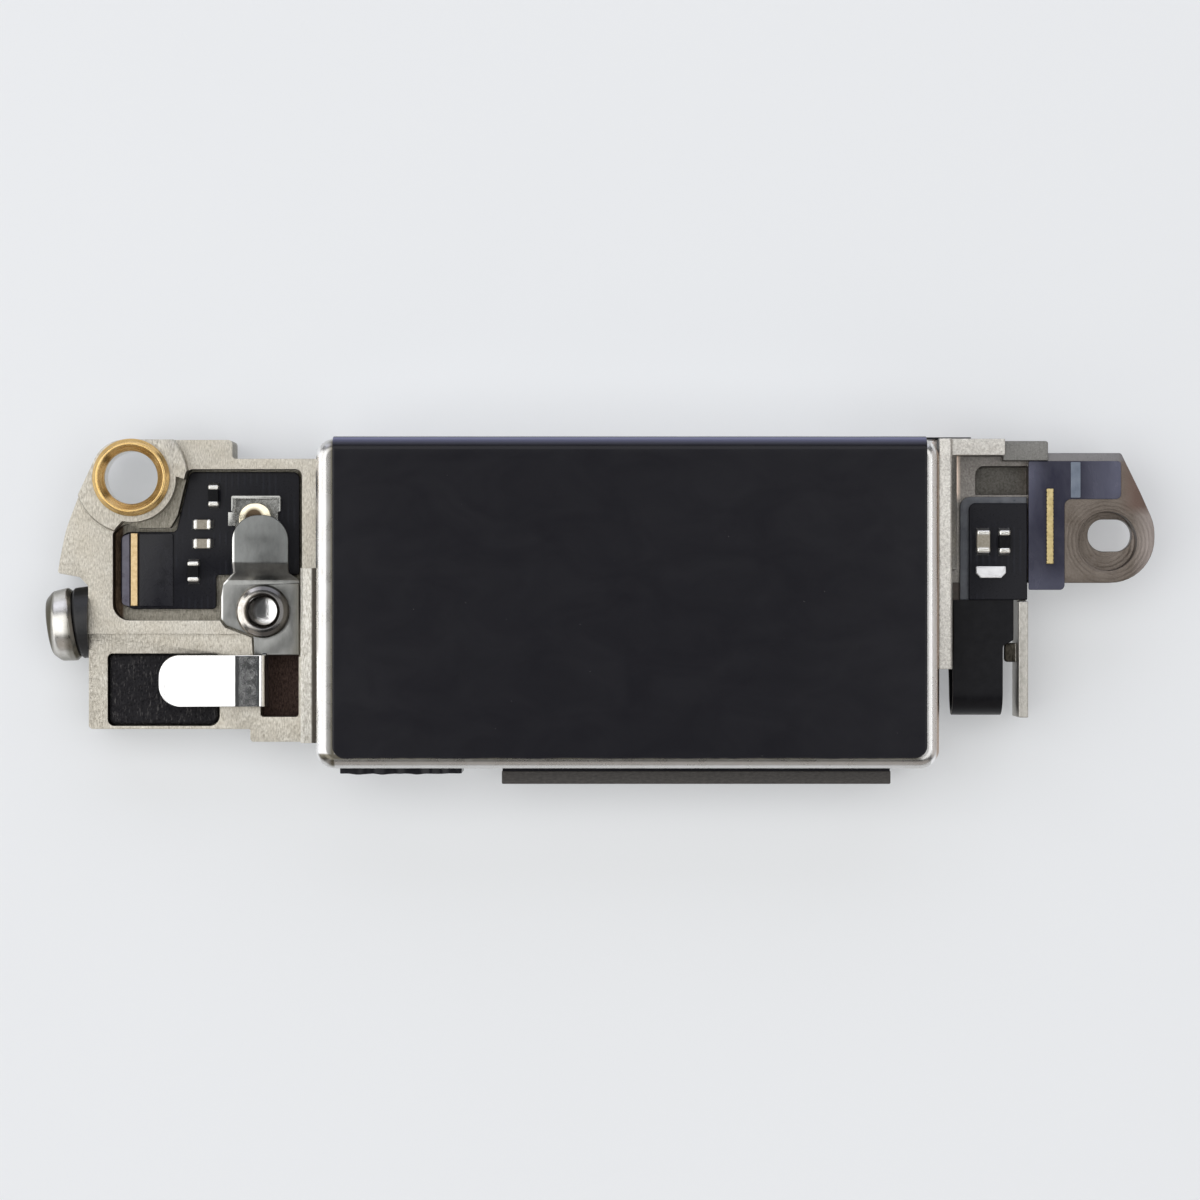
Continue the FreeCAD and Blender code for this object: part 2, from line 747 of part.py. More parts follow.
def spring_clip_base():
    """Soldered base of the clip, with a frame around its mouth and a locating leg."""
    z0 = LEFT_BOARD_Z
    lip_z = z0 + 0.4
    floor_x = (CLIP_X[0] + CLIP_LIP, CLIP_X[1] - CLIP_LIP)
    floor = block(*floor_x, CLIP_RISER_Y[0], CLIP_Y[1], z0, z0 + CLIP_T)
    mouth = plate(rectangle(*CLIP_X, *CLIP_Y, 0.05), z0, lip_z)
    mouth = mouth.cut(block(*floor_x, CLIP_Y[0] - CLIP_LIP, CLIP_Y[1] - CLIP_LIP, z0 + CLIP_T, lip_z))
    riser = block(*CLIP_FINGER_X, *CLIP_RISER_Y, z0, z0 + 0.14)
    leg = block(CLIP_X[0] - 0.12, CLIP_X[0] + CLIP_LIP, *CLIP_LEG_Y, z0, z0 + 0.12)
    return fused(floor, mouth, riser, leg)


def spring_clip_finger():
    """Gold-plated arched finger, free at its +Y end."""
    strip = along_x(sheet(CLIP_FINGER_PATH, CLIP_FINGER_T), *CLIP_FINGER_X)
    tip_y = CLIP_FINGER_PATH[-1][0]
    plan = [
        (CLIP_FINGER_X[0], 0.0),
        (CLIP_FINGER_X[1], 0.0),
        (CLIP_FINGER_X[1], tip_y, CLIP_NOSE_R),
        (CLIP_FINGER_X[0], tip_y, CLIP_NOSE_R),
    ]
    return strip.common(plate(plan, LEFT_POCKET_Z, FLANGE_Z))


def ground_plate():
    """Sheet clamped by the nut: a raised tongue at one end, the finger's root at the other."""
    low = GROUND_Z + GROUND_T / 2
    high = TONGUE_Z + GROUND_T / 2
    bend_r = 0.12
    xs = [x for x, *_ in GROUND_OUTLINE]
    ys = [y for _, y, *_ in GROUND_OUTLINE]
    path = [
        (min(ys), low),
        (TONGUE_JOGGLE_Y[0], low, bend_r),
        (TONGUE_JOGGLE_Y[1], high, bend_r),
        (max(ys), high),
    ]
    bent = along_x(sheet(path, GROUND_T), min(xs), max(xs))
    body = bent.common(plate(GROUND_OUTLINE, LEFT_POCKET_Z, FLANGE_Z))
    root_x = (FINGER_ROOT_X - FINGER_T / 2, FINGER_ROOT_X + FINGER_T / 2)
    root = block(*root_x, FINGER_Y[0], FINGER_Y[1] + 0.04, ROOT_FOOT_Z, FINGER_ROOT_Z)
    return fused(body, root).cut(disc(NUT_AT, NUT_BARREL_R, GROUND_Z, TONGUE_Z))


def press_nut():
    """Nut swaged over the ground plate, with a blind thread."""
    x, y = NUT_AT
    rim_r = 0.55
    plate_top = GROUND_Z + GROUND_T
    profile = [
        (0.0, BRACKET_Z0),
        (NUT_BARREL_R, BRACKET_Z0),
        (NUT_BARREL_R, LEFT_POCKET_Z),
        (NUT_SPACER_R, LEFT_POCKET_Z),
        (NUT_SPACER_R, GROUND_Z),
        (NUT_BARREL_R, GROUND_Z),
        (NUT_BARREL_R, plate_top),
        (NUT_FLANGE_R, plate_top),
        (NUT_FLANGE_R, NUT_TOP_Z - 0.18),
        (NUT_FLANGE_R - 0.06, NUT_TOP_Z - 0.10),
        (NUT_FLANGE_R - 0.16, NUT_TOP_Z - 0.035),
        (rim_r, NUT_TOP_Z),
        (NUT_THREAD_R, NUT_TOP_Z - 0.08),
        (NUT_THREAD_R, NUT_BLIND_Z),
        (0.0, NUT_BLIND_Z - 0.06),
    ]
    return turned(profile, x, y)


def contact_finger():
    """Bright sprung finger with a rounded tip."""
    level = FINGER_ROOT_Z + FINGER_RISE
    path = [
        (FINGER_ROOT_X, FINGER_ROOT_Z + FINGER_GAP),
        (FINGER_ROOT_X, level, 0.14),
        (FINGER_BEND_X, level, 0.6),
        (FINGER_TIP_X, level + FINGER_LIFT),
    ]
    strip = along_y(sheet(path, FINGER_T), *FINGER_Y)
    tip_r = 0.6
    plan = [
        (FINGER_TIP_X, FINGER_Y[0], tip_r),
        (LEFT_FLANGE_X, FINGER_Y[0]),
        (LEFT_FLANGE_X, FINGER_Y[1]),
        (FINGER_TIP_X, FINGER_Y[1], tip_r),
    ]
    return strip.common(plate(plan, LEFT_POCKET_Z, CASE_Z))


def foam_pad():
    """Conductive foam in the recess under the finger."""
    return plate(foam_plan(0.0), FOAM_SEAT_Z, FOAM_TOP_Z)


def side_stud():
    """Pan-head screw with a shallow socket in its face."""
    face, under = SCREW_HEAD
    profile = [
        (0.0, face + SOCKET_DEPTH),
        (SOCKET_R - 0.1, face + SOCKET_DEPTH),
        (SOCKET_R, face + 0.04, 0.03),
        (SCREW_HEAD_R - 0.28, face, 0.2),
        (SCREW_HEAD_R - 0.05, face + 0.22, 0.2),
        (SCREW_HEAD_R, under - 0.12, 0.1),
        (SCREW_HEAD_R - 0.1, under),
        (SCREW_SHANK_R, under),
        (SCREW_SHANK_R, SCREW_SHANK_END - 0.08),
        (SCREW_SHANK_R - 0.08, SCREW_SHANK_END),
        (0.0, SCREW_SHANK_END),
    ]
    return screw_frame(turned(profile, 0, 0))


def side_collar():
    """Black insulating collar between the screw's head and the bracket."""
    ring = Part.makeCylinder(COLLAR_R, COLLAR_OUT + COLLAR_IN, V(0, 0, -COLLAR_OUT))
    hole_reach = 1.0
    ring = ring.cut(Part.makeCylinder(SCREW_HOLE_R, 2 * hole_reach, V(0, 0, -hole_reach)))
    ring = screw_frame(ring)
    beside = block(SCREW_AT.x, SCREW_AT.x + 2, SCREW_AT.y - 2, SCREW_AT.y + 2, 0, CASE_Z)
    return ring.cut(beside)


def right_frame():
    """Flange, arm and stepped block of the right bracket."""
    bevel = 0.06
    section = [
        (WALL_X, BRACKET_Z0),
        (RIGHT_FLANGE_X, BRACKET_Z0),
        (RIGHT_FLANGE_X, FLANGE_Z - bevel),
        (RIGHT_FLANGE_X - bevel, FLANGE_Z),
        (WALL_X, FLANGE_Z),
    ]
    flange = along_y(section, *RIGHT_FLANGE_Y)
    flange = flange.cut(tail_slot(WALL_X, RIGHT_FLANGE_X, BRACKET_Z0))
    rib_section = [
        (RIGHT_FLANGE_X, BRACKET_Z0),
        (RIGHT_FLANGE_X + RIB_T, BRACKET_Z0),
        (RIGHT_FLANGE_X + RIB_T, ARM_Z - 0.2),
        (RIGHT_FLANGE_X, ARM_Z),
    ]
    rib = along_y(rib_section, RIB_Y0, RIGHT_FLOOR_Y[1])
    arm = block(RIGHT_FLANGE_X, ARM_X1, RIGHT_FLOOR_Y[1], WALL_Y, RIGHT_UNDER_Z, ARM_Z)
    step_y1 = WALL_Y - 0.05
    step_plan = [(ARM_X1, STEP_Y0), (STEP_X1, STEP_Y0), (STEP_X1, step_y1, 0.08), (ARM_X1, step_y1)]
    step = plate(step_plan, RIGHT_UNDER_Z, STEP_Z)
    return fused(flange, rib, arm, step)


def right_ear():
    """Screw ear with a slotted hole at the bottom of a round counterbore."""
    ear = plate(EAR_OUTLINE, *EAR_Z)
    ear = ear.cut(disc(EAR_BORE_AT, EAR_BORE_R, EAR_BORE_Z, EAR_Z[1]))
    half_x = EAR_SLOT[0] / 2
    half_y = EAR_SLOT[1] / 2
    x, y = EAR_SLOT_AT
    slot = rectangle(x - half_x, x + half_x, y - half_y, y + half_y, half_y - 0.01)
    return ear.cut(plate(slot, *EAR_Z))


def right_bracket():
    """Right bracket with a floor for the board and an ear for one screw."""
    floor = block(RIGHT_FLANGE_X, RIGHT_FLOOR_X1, *RIGHT_FLOOR_Y, RIGHT_UNDER_Z, RIGHT_FLOOR_Z)
    floor = floor.cut(plate(RIGHT_RECESS, RIGHT_RECESS_Z, RIGHT_FLOOR_Z))
    return fused(right_frame(), floor, right_ear())


def right_stiffener():
    """Pale backing sheet under the right board."""
    x0, x1 = RIGHT_STIFFENER_X
    y0, y1 = RIGHT_STIFFENER_Y
    plan = [(x0, y0), (x1, y0), (x1, y1), (x0, y1, 0.3)]
    return plate(plan, RIGHT_FLOOR_Z, RIGHT_STIFFENER_Z)


def right_flex_board():
    """Black flexible board on the backing sheet."""
    x0, x1 = RIGHT_BOARD_X
    y0, y1 = RIGHT_BOARD_Y
    plan = [(x0, y0), (x1, y0), (x1, y1), (x0, y1, 0.2)]
    return plate(plan, RIGHT_STIFFENER_Z, RIGHT_BOARD_Z)


def right_flex_ribbon():
    """Ribbon folded back under itself, with a tab that joins the coil board's tail."""
    top = RIBBON_TOP_Z - FLEX_T / 2
    low = FLEX_Z + FLEX_T / 2
    turn_r = (top - low) / 2
    turn_y = RIBBON_TURN_Y - turn_r
    path = [(RIBBON_START_Y, top), (turn_y, top, turn_r), (turn_y, low, turn_r), (TAIL_Y[1], low)]
    body = along_x(sheet(path, FLEX_T), *RIBBON_X)
    wing = block(
        RIBBON_X[1],
        RIBBON_WING_X,
        RIBBON_WING_Y,
        RIBBON_START_Y,
        RIBBON_TOP_Z - FLEX_T,
        RIBBON_TOP_Z,
    )
    tab = block(TAIL_END_X, RIBBON_X[0] + 0.2, *TAIL_Y, FLEX_Z, FLEX_Z + FLEX_T)
    return fused(body, wing, tab)


def right_cover_film():
    """L-shaped blue-grey film over the ear's shoulder."""
    return plate(RIGHT_FILM, EAR_Z[1], EAR_Z[1] + FILM_T)


def right_gold_bar():
    """Gold contact bar on the film."""
    z0 = EAR_Z[1] + FILM_T
    return plate(rectangle(*RIGHT_GOLD_BAR, 0.04), z0, z0 + GOLD_T)


def right_film_strip():
    """Pale strip across the film's upper limb."""
    z0 = EAR_Z[1] + FILM_T
    return plate(rectangle(*FILM_STRIP, 0.03), z0, z0 + FILM_STRIP_T)


def right_leg():
    """Upright sheet leg that hangs from the bracket's floor, with a small hook."""
    leg = along_x(LEG_SIDE, *LEG_X)
    hook_plan = [
        (HOOK_X0, HOOK_Y[0], 0.1),
        (LEG_X[0], HOOK_Y[0]),
        (LEG_X[0], HOOK_Y[1]),
        (HOOK_X0, HOOK_Y[1], 0.1),
    ]
    hook = plate(hook_plan, *HOOK_Z)
    return fused(leg, hook)


PIECES = {
    "can_cover": can_cover,
    "base_plate": base_plate,
    "cover_label": cover_label,
    "rear_wall_tape": rear_wall_tape,
    "long_side_pad": long_side_pad,
    "short_side_tape": short_side_tape,
    "lower_stator_plate": lower_stator_plate,
    "upper_stator_plate": upper_stator_plate,
    "coil_flex": coil_flex,
    "lower_coils": lower_coils,
    "upper_coils": upper_coils,
    "upper_coil_lead": upper_coil_lead,
    "moving_mass": moving_mass,
    "magnets": magnets,
    "right_leaf_spring": lambda: leaf_spring(1),
    "left_leaf_spring": lambda: leaf_spring(-1),
    "mass_weld_plates": mass_weld_plates,
    "wall_weld_plates": wall_weld_plates,
    "end_bumpers": end_bumpers,
    "hall_sensor": hall_sensor,
    "left_bracket": left_bracket,
    "left_bush": left_bush,
    "left_flex_board": left_flex_board,
    "left_stiffener": left_stiffener,
    "left_cover_film": left_cover_film,
    "left_gold_bar": left_gold_bar,
    "chip_capacitors": chip_capacitors,
    "chip_resistors": chip_resistors,
    "chip_terminals": chip_terminals,
    "bright_chip": bright_chip,
    "spring_clip_base": spring_clip_base,
    "spring_clip_finger": spring_clip_finger,
    "ground_plate": ground_plate,
    "press_nut": press_nut,
    "contact_finger": contact_finger,
    "foam_pad": foam_pad,
    "side_stud": side_stud,
    "side_collar": side_collar,
    "right_bracket": right_bracket,
    "right_stiffener": right_stiffener,
    "right_flex_board": right_flex_board,
    "right_flex_ribbon": right_flex_ribbon,
    "right_cover_film": right_cover_film,
    "right_gold_bar": right_gold_bar,
    "right_film_strip": right_film_strip,
    "right_leg": right_leg,
}

os.makedirs("parts", exist_ok=True)
for name, make in PIECES.items():
    make().exportStep(f"parts/{name}.step")
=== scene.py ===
"""Looks for the linear haptic actuator: detailed pieces, materials, floor, light and camera.

Shapes and texture scales are in millimetres; lights, camera and floor are in metres.
"""
import math

import bmesh
import bpy
from mathutils import Matrix, Vector, noise


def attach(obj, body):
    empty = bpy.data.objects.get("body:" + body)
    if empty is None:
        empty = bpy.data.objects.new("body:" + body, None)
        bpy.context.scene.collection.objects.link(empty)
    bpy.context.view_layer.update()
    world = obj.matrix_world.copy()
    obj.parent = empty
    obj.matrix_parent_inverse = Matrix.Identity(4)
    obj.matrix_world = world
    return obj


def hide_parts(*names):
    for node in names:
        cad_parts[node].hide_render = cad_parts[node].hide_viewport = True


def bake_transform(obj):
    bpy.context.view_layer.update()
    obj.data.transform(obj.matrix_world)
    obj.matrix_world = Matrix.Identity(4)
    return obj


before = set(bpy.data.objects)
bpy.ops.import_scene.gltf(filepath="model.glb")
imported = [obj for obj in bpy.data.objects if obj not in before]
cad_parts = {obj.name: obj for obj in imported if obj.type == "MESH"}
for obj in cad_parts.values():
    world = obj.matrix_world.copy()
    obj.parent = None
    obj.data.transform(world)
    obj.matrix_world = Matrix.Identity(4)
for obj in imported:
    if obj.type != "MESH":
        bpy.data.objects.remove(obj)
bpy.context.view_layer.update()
scene = bpy.context.scene

MM = 0.001
TURN_SEGMENTS = 96
BUSH_AT = (-14.70, 3.73)
NUT_AT = (-10.84, -0.23)
EAR_BORE_AT = (14.28, 1.85)
CLIP_SHADE_AT = (-11.10, 2.56)


# ---------------------------------------------------------------- shape helpers
def rounded(points, closed=True, step=12.0):
    """The points with each corner rounded by its third number; arcs step by degrees."""
    out = []
    count = len(points)
    for i, point in enumerate(points):
        here = Vector(point[:2])
        radius = point[2] if len(point) > 2 else 0.0
        if radius <= 0 or (not closed and i in (0, count - 1)):
            out.append(tuple(here))
            continue
        back = (Vector(points[i - 1][:2]) - here).normalized()
        ahead = (Vector(points[(i + 1) % count][:2]) - here).normalized()
        half = back.angle(ahead) / 2
        centre = here + (back + ahead).normalized() * (radius / math.sin(half))
        start = here + back * (radius / math.tan(half)) - centre
        sweep = math.pi - 2 * half
        sign = math.copysign(1.0, back.x * ahead.y - back.y * ahead.x) * -1
        parts = max(2, int(math.degrees(sweep) / step))
        for k in range(parts + 1):
            spun = Matrix.Rotation(sign * sweep * k / parts, 2) @ start
            out.append((centre.x + spun.x, centre.y + spun.y))
    return out


def rect(x0, x1, y0, y1, r=0.0):
    """A rectangle with corner radius r, for rounded()."""
    return [(x0, y0, r), (x1, y0, r), (x1, y1, r), (x0, y1, r)]


def inset(loop, distance):
    """The closed loop moved inwards; the loop runs anticlockwise."""
    sharpest = 0.35  # a mitre at a sharper corner is cut short
    out = []
    count = len(loop)
    for i in range(count):
        here = Vector(loop[i])
        into = (here - Vector(loop[i - 1])).normalized()
        onward = (Vector(loop[(i + 1) % count]) - here).normalized()
        side = Vector((-into.y, into.x)) + Vector((-onward.y, onward.x))
        length = max(side.length, 1e-6)
        out.append(tuple(here + side / length * distance / max(length / 2, sharpest)))
    return out


def anticlockwise(loop):
    area = sum(a[0] * b[1] - b[0] * a[1] for a, b in zip(loop, loop[1:] + loop[:1]))
    return loop if area > 0 else loop[::-1]


def divided(path, longest):
    """The path with its long runs divided."""
    out = [path[0]]
    for a, b in zip(path, path[1:]):
        parts = max(1, math.ceil(math.dist(a, b) / longest))
        for k in range(1, parts + 1):
            t = k / parts
            out.append((a[0] + (b[0] - a[0]) * t, a[1] + (b[1] - a[1]) * t))
    return out


def refined_tail(path, longest, tail, steps=16):
    """The path divided, with ever shorter runs over the last tail of its length."""
    out = divided(path, longest)
    last, before = Vector(out[-1]), Vector(path[-2])
    direction = (last - before).normalized()
    kept = [p for p in out if (last - Vector(p)).length > tail]
    for k in range(steps + 1):
        point = last - direction * (tail * (1 - math.sin(math.pi / 2 * k / steps)))
        kept.append((point.x, point.y))
    return kept


def round_ended(low, high, tip):
    """The sides of a strip from low to high whose far end is an arc of radius tip."""

    def spans(s, total):
        rest = total - s
        trim = tip - math.sqrt(max(tip ** 2 - max(tip - rest, 0) ** 2, 0)) if rest < tip else 0.0
        return low + trim, high - trim

    return spans


def grid_cells(columns, rows):
    """The faces of a grid of points that are numbered row by row within each column."""
    starts = [i * rows + j for i in range(columns - 1) for j in range(rows - 1)]
    return [(a, a + rows, a + rows + 1, a + 1) for a in starts]


def grid_border(columns, rows):
    """The points round such a grid, in order."""
    last = (columns - 1) * rows
    border = [i * rows for i in range(columns)] + [last + j for j in range(1, rows)]
    return border + [i * rows + rows - 1 for i in range(columns - 2, -1, -1)] + list(range(rows - 2, 0, -1))


class Build:
    """Collects shells in millimetres and turns them into one piece."""

    def __init__(self):
        self.verts = []
        self.faces = []

    def add(self, verts, faces):
        base = len(self.verts)
        self.verts += [tuple(v) for v in verts]
        self.faces += [tuple(base + i for i in f) for f in faces]
        return self

    def loft(self, rings):
        """Joins closed rings of equal length and caps both ends."""
        size = len(rings[0])
        faces = []
        for k in range(len(rings) - 1):
            for i in range(size):
                a = k * size + i
                b = k * size + (i + 1) % size
                faces.append((a, b, b + size, a + size))
        last = (len(rings) - 1) * size
        faces.append(tuple(range(size))[::-1])
        faces.append(tuple(range(last, last + size)))
        return self.add([p for ring in rings for p in ring], faces)

    def slab(self, outline, z0, z1, edge=0.03, foot=0.0, steps=3):
        """A flat piece with a rounded upper edge, and a lower one if foot is given."""
        loop = anticlockwise(rounded(outline))
        angles = [math.pi / 2 * k / steps for k in range(steps + 1)]
        levels = [(0.0, z0)]
        if foot > 0:
            levels = [(foot * (1 - math.sin(a)), z0 + foot * (1 - math.cos(a))) for a in angles]
        levels += [(edge * (1 - math.cos(a)), z1 - edge * (1 - math.sin(a))) for a in angles]
        return self.loft([[(x, y, z) for x, y in inset(loop, d)] for d, z in levels])

    def turned(self, profile, place, segments=TURN_SEGMENTS, shaped=None):
        """A closed profile of radii and heights turned about the Z axis; shaped may change a radius."""
        verts = []
        rows = []
        for r, z in rounded(profile):
            if r < 1e-6:
                rows.append([len(verts)] * segments)
                verts.append((0, 0, z))
                continue
            rows.append(list(range(len(verts), len(verts) + segments)))
            for s in range(segments):
                theta = 2 * math.pi * s / segments
                radius = shaped(r, z, theta) if shaped else r
                verts.append((radius * math.cos(theta), radius * math.sin(theta), z))
        faces = []
        for i, row in enumerate(rows):
            after = rows[(i + 1) % len(rows)]
            if row[0] == row[1] and after[0] == after[1]:
                continue
            for s in range(segments):
                t = (s + 1) % segments
                quad = [row[s], row[t], after[t], after[s]]
                face = [v for k, v in enumerate(quad) if v != quad[k - 1]]
                if len(face) > 2:
                    faces.append(tuple(face))
        return self.add([place @ Vector(v) for v in verts], faces)

    def strip(self, path, thickness, spans, place, edge):
        """Bent sheet: a round-edged section carried along a line; spans gives its two sides."""
        half = thickness / 2
        lengths = [0.0]
        for a, b in zip(path, path[1:]):
            lengths.append(lengths[-1] + math.dist(a, b))
        rings = []
        for i, point in enumerate(path):
            before = Vector(path[max(i - 1, 0)])
            after = Vector(path[min(i + 1, len(path) - 1)])
            along = (after - before).normalized()
            up = Vector((-along.y, along.x))
            low, high = spans(lengths[i], lengths[-1])
            loop = rounded(rect(low, high, -half, half, edge), step=30)
            rings.append([place(point[0] + up.x * h, point[1] + up.y * h, w) for w, h in loop])
        return self.loft(rings)

    def piece(self, name, replaces, slot, material, body="case", sharp=38.0, trim=None):
        """Makes the object; replaces may be None, slot is not used, and trim may rework its mesh first."""
        mesh = bpy.data.meshes.new(name)
        mesh.from_pydata([(x * MM, y * MM, z * MM) for x, y, z in self.verts], [], self.faces)
        shell = bmesh.new()
        shell.from_mesh(mesh)
        if trim:
            trim(shell)
        bmesh.ops.recalc_face_normals(shell, faces=shell.faces)
        shell.to_mesh(mesh)
        shell.free()
        shade(mesh, sharp)
        obj = bpy.data.objects.new(name, mesh)
        scene.collection.objects.link(obj)
        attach(obj, body)
        if replaces:
            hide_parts(replaces)
        mesh.materials.append(material)
        return obj


def shade(mesh, limit):
    """Smooth shading that keeps large faces flat: corner normals weighted by face area."""
    cosine = math.cos(math.radians(limit))
    around = [[] for _ in mesh.vertices]
    for polygon in mesh.polygons:
        polygon.use_smooth = True
        for vertex in polygon.vertices:
            around[vertex].append(polygon.index)
    facing = [polygon.normal.copy() for polygon in mesh.polygons]
    weighted = [polygon.normal * (polygon.area / MM ** 2) for polygon in mesh.polygons]
    corners = []
    for polygon in mesh.polygons:
        own = facing[polygon.index]
        for vertex in polygon.vertices:
            total = Vector((0, 0, 0))
            for k in around[vertex]:
                if facing[k].dot(own) > cosine:
                    total += weighted[k]
            corners.append(total.normalized())
    mesh.normals_split_custom_set(corners)


def dress_node(node, material, bevel):
    """Keeps a CAD node's shape, cleans its mesh, rounds its edges and gives it a material."""
    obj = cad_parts[node]
    obj.data.materials.clear()
    obj.data.materials.append(material)
    for polygon in obj.data.polygons:
        polygon.material_index = 0
        polygon.use_smooth = True
    weld = obj.modifiers.new("weld", "WELD")
    weld.merge_threshold = 0.001 * MM
    flat = obj.modifiers.new("flat", "DECIMATE")
    flat.decimate_type = "DISSOLVE"
    flat.angle_limit = math.radians(1.0)
    round_edges = obj.modifiers.new("round", "BEVEL")
    round_edges.width = bevel * MM
    round_edges.segments = 3
    round_edges.limit_method = "ANGLE"
    round_edges.angle_limit = math.radians(32)
    round_edges.harden_normals = True
    obj.data.set_sharp_from_angle(angle=math.radians(8))


# ---------------------------------------------------------------- materials
METAL, COAT = 1.0, 0.0
MIDDLE = (0.3, 0.7)  # the part of a noise's range that holds most of its values


class Paint:
    """A small builder for procedural materials; textures are laid out in millimetres."""

    def __init__(self, name, color, metallic=COAT, roughness=0.5, **sockets):
        self.material = bpy.data.materials.new(name)
        self.material.use_nodes = True
        self.tree = self.material.node_tree
        self.shader = self.tree.nodes["Principled BSDF"]
        self.set("Base Color", (*color, 1.0))
        self.set("Metallic", metallic)
        self.set("Roughness", roughness)
        for key, value in sockets.items():
            self.set(key.replace("_", " "), value)
        self.where = self.node("ShaderNodeTexCoord").outputs["Object"]
        self.height = None
        self.split = None

    def set(self, socket, value):
        self.shader.inputs[socket].default_value = value

    def node(self, kind, **values):
        node = self.tree.nodes.new(kind)
        for key, value in values.items():
            setattr(node, key, value)
        return node

    def link(self, source, target):
        self.tree.links.new(source, target)

    def spread(self, scale=(1, 1, 1), turn=0.0):
        """The place on the part in millimetres, scaled and turned about Z."""
        mapping = self.node("ShaderNodeMapping")
        mapping.inputs["Scale"].default_value = [s / MM for s in scale]
        mapping.inputs["Rotation"].default_value = (0, 0, turn)
        self.link(self.where, mapping.inputs["Vector"])
        return mapping.outputs["Vector"]

    def grain(self, scale, detail=4.0, stretch=(1, 1, 1), turn=0.0, distortion=0.0, roughness=0.6):
        """Noise, with scale features to a millimetre."""
        texture = self.node("ShaderNodeTexNoise")
        texture.inputs["Scale"].default_value = scale
        texture.inputs["Detail"].default_value = detail
        texture.inputs["Roughness"].default_value = roughness
        texture.inputs["Distortion"].default_value = distortion
        self.link(self.spread(stretch, turn), texture.inputs["Vector"])
        return texture.outputs["Fac"]

    def cells(self, scale):
        """Distance to the nearest of many scattered points."""
        texture = self.node("ShaderNodeTexVoronoi")
        texture.inputs["Scale"].default_value = scale
        self.link(self.spread(), texture.inputs["Vector"])
        return texture.outputs["Distance"]

    def axis(self, name):
        """X, Y or Z on the part, in millimetres."""
        if not self.split:
            self.split = self.node("ShaderNodeSeparateXYZ")
            self.link(self.spread(), self.split.inputs[0])
        return self.split.outputs[name.upper()]

    def radius_from(self, x, y):
        """Distance in millimetres from an upright axis."""
        flat = self.node("ShaderNodeVectorMath", operation="MULTIPLY")
        flat.inputs[1].default_value = (1, 1, 0)
        self.link(self.spread(), flat.inputs[0])
        away = self.node("ShaderNodeVectorMath", operation="DISTANCE")
        self.link(flat.outputs["Vector"], away.inputs[0])
        away.inputs[1].default_value = (x, y, 0)
        return away.outputs["Value"]

    def remap(self, value, low, high, to_low=0.0, to_high=1.0):
        """The value's range from low to high, clamped and spread over another; low may be the larger."""
        node = self.node("ShaderNodeMapRange")
        for key, number in (("From Min", low), ("From Max", high), ("To Min", to_low), ("To Max", to_high)):
            node.inputs[key].default_value = number
        self.link(value, node.inputs["Value"])
        return node.outputs["Result"]

    def math(self, operation, a, b=0.0):
        node = self.node("ShaderNodeMath", operation=operation)
        for k, value in enumerate((a, b)):
            if isinstance(value, (int, float)):
                node.inputs[k].default_value = value
            else:
                self.link(value, node.inputs[k])
        return node.outputs[0]

    def all_of(self, first, *others):
        """The product of masks."""
        for mask in others:
            first = self.math("MULTIPLY", first, mask)
        return first

    def any_of(self, first, *others):
        """The largest of masks."""
        for mask in others:
            first = self.math("MAXIMUM", first, mask)
        return first

    def zone(self, **ramps):
        """A mask by place: for each axis where it is 0, where it is 1, and the same for a second ramp."""
        masks = []
        for name, at in ramps.items():
            masks += [self.remap(self.axis(name), *at[k:k + 2]) for k in range(0, len(at), 2)]
        return self.all_of(*masks)

    def blend(self, factor, a, b):
        """Colour a where factor is 0 and b where it is 1."""
        node = self.node("ShaderNodeMix", data_type="RGBA")
        self.link(factor, node.inputs[0])
        for index, value in ((6, a), (7, b)):
            if isinstance(value, tuple):
                node.inputs[index].default_value = (*value, 1.0)
            else:
                self.link(value, node.inputs[index])
        return node.outputs[2]

    def over(self, tone, *layers):
        """The tone with other colours laid over it, each with its mask."""
        for mask, color in layers:
            tone = self.blend(mask, tone, color)
        return tone

    def tones(self, grain, dark, pale):
        """Two colours mixed by a noise."""
        return self.blend(self.remap(grain, *MIDDLE), dark, pale)

    def color(self, socket):
        self.link(socket, self.shader.inputs["Base Color"])

    def rough(self, socket):
        self.link(socket, self.shader.inputs["Roughness"])

    def rough_by(self, grain, low, high):
        """Roughness from low to high, by a noise."""
        self.rough(self.remap(grain, *MIDDLE, low, high))

    def bump(self, value, depth_mm):
        """Relief, added to what is there."""
        node = self.node("ShaderNodeBump")
        node.inputs["Distance"].default_value = depth_mm * MM
        node.inputs["Strength"].default_value = 1.0
        self.link(value, node.inputs["Height"])
        if self.height:
            self.link(self.height, node.inputs["Normal"])
        self.height = node.outputs["Normal"]
        self.link(self.height, self.shader.inputs["Normal"])

    def finished(self, grain, rough, depth):
        """The material, with roughness and relief by one noise."""
        self.rough_by(grain, *rough)
        self.bump(grain, depth)
        return self.material


def plain(name, metallic, dark, pale, scale, rough, depth=0.002, stretch=(1, 1, 1), detail=4.0, **sockets):
    """One noise for the tone, the roughness and the relief."""
    p = Paint(name, pale, metallic, rough[0], **sockets)
    grain = p.grain(scale, detail, stretch)
    p.color(p.tones(grain, dark, pale))
    return p.finished(grain, rough, depth)


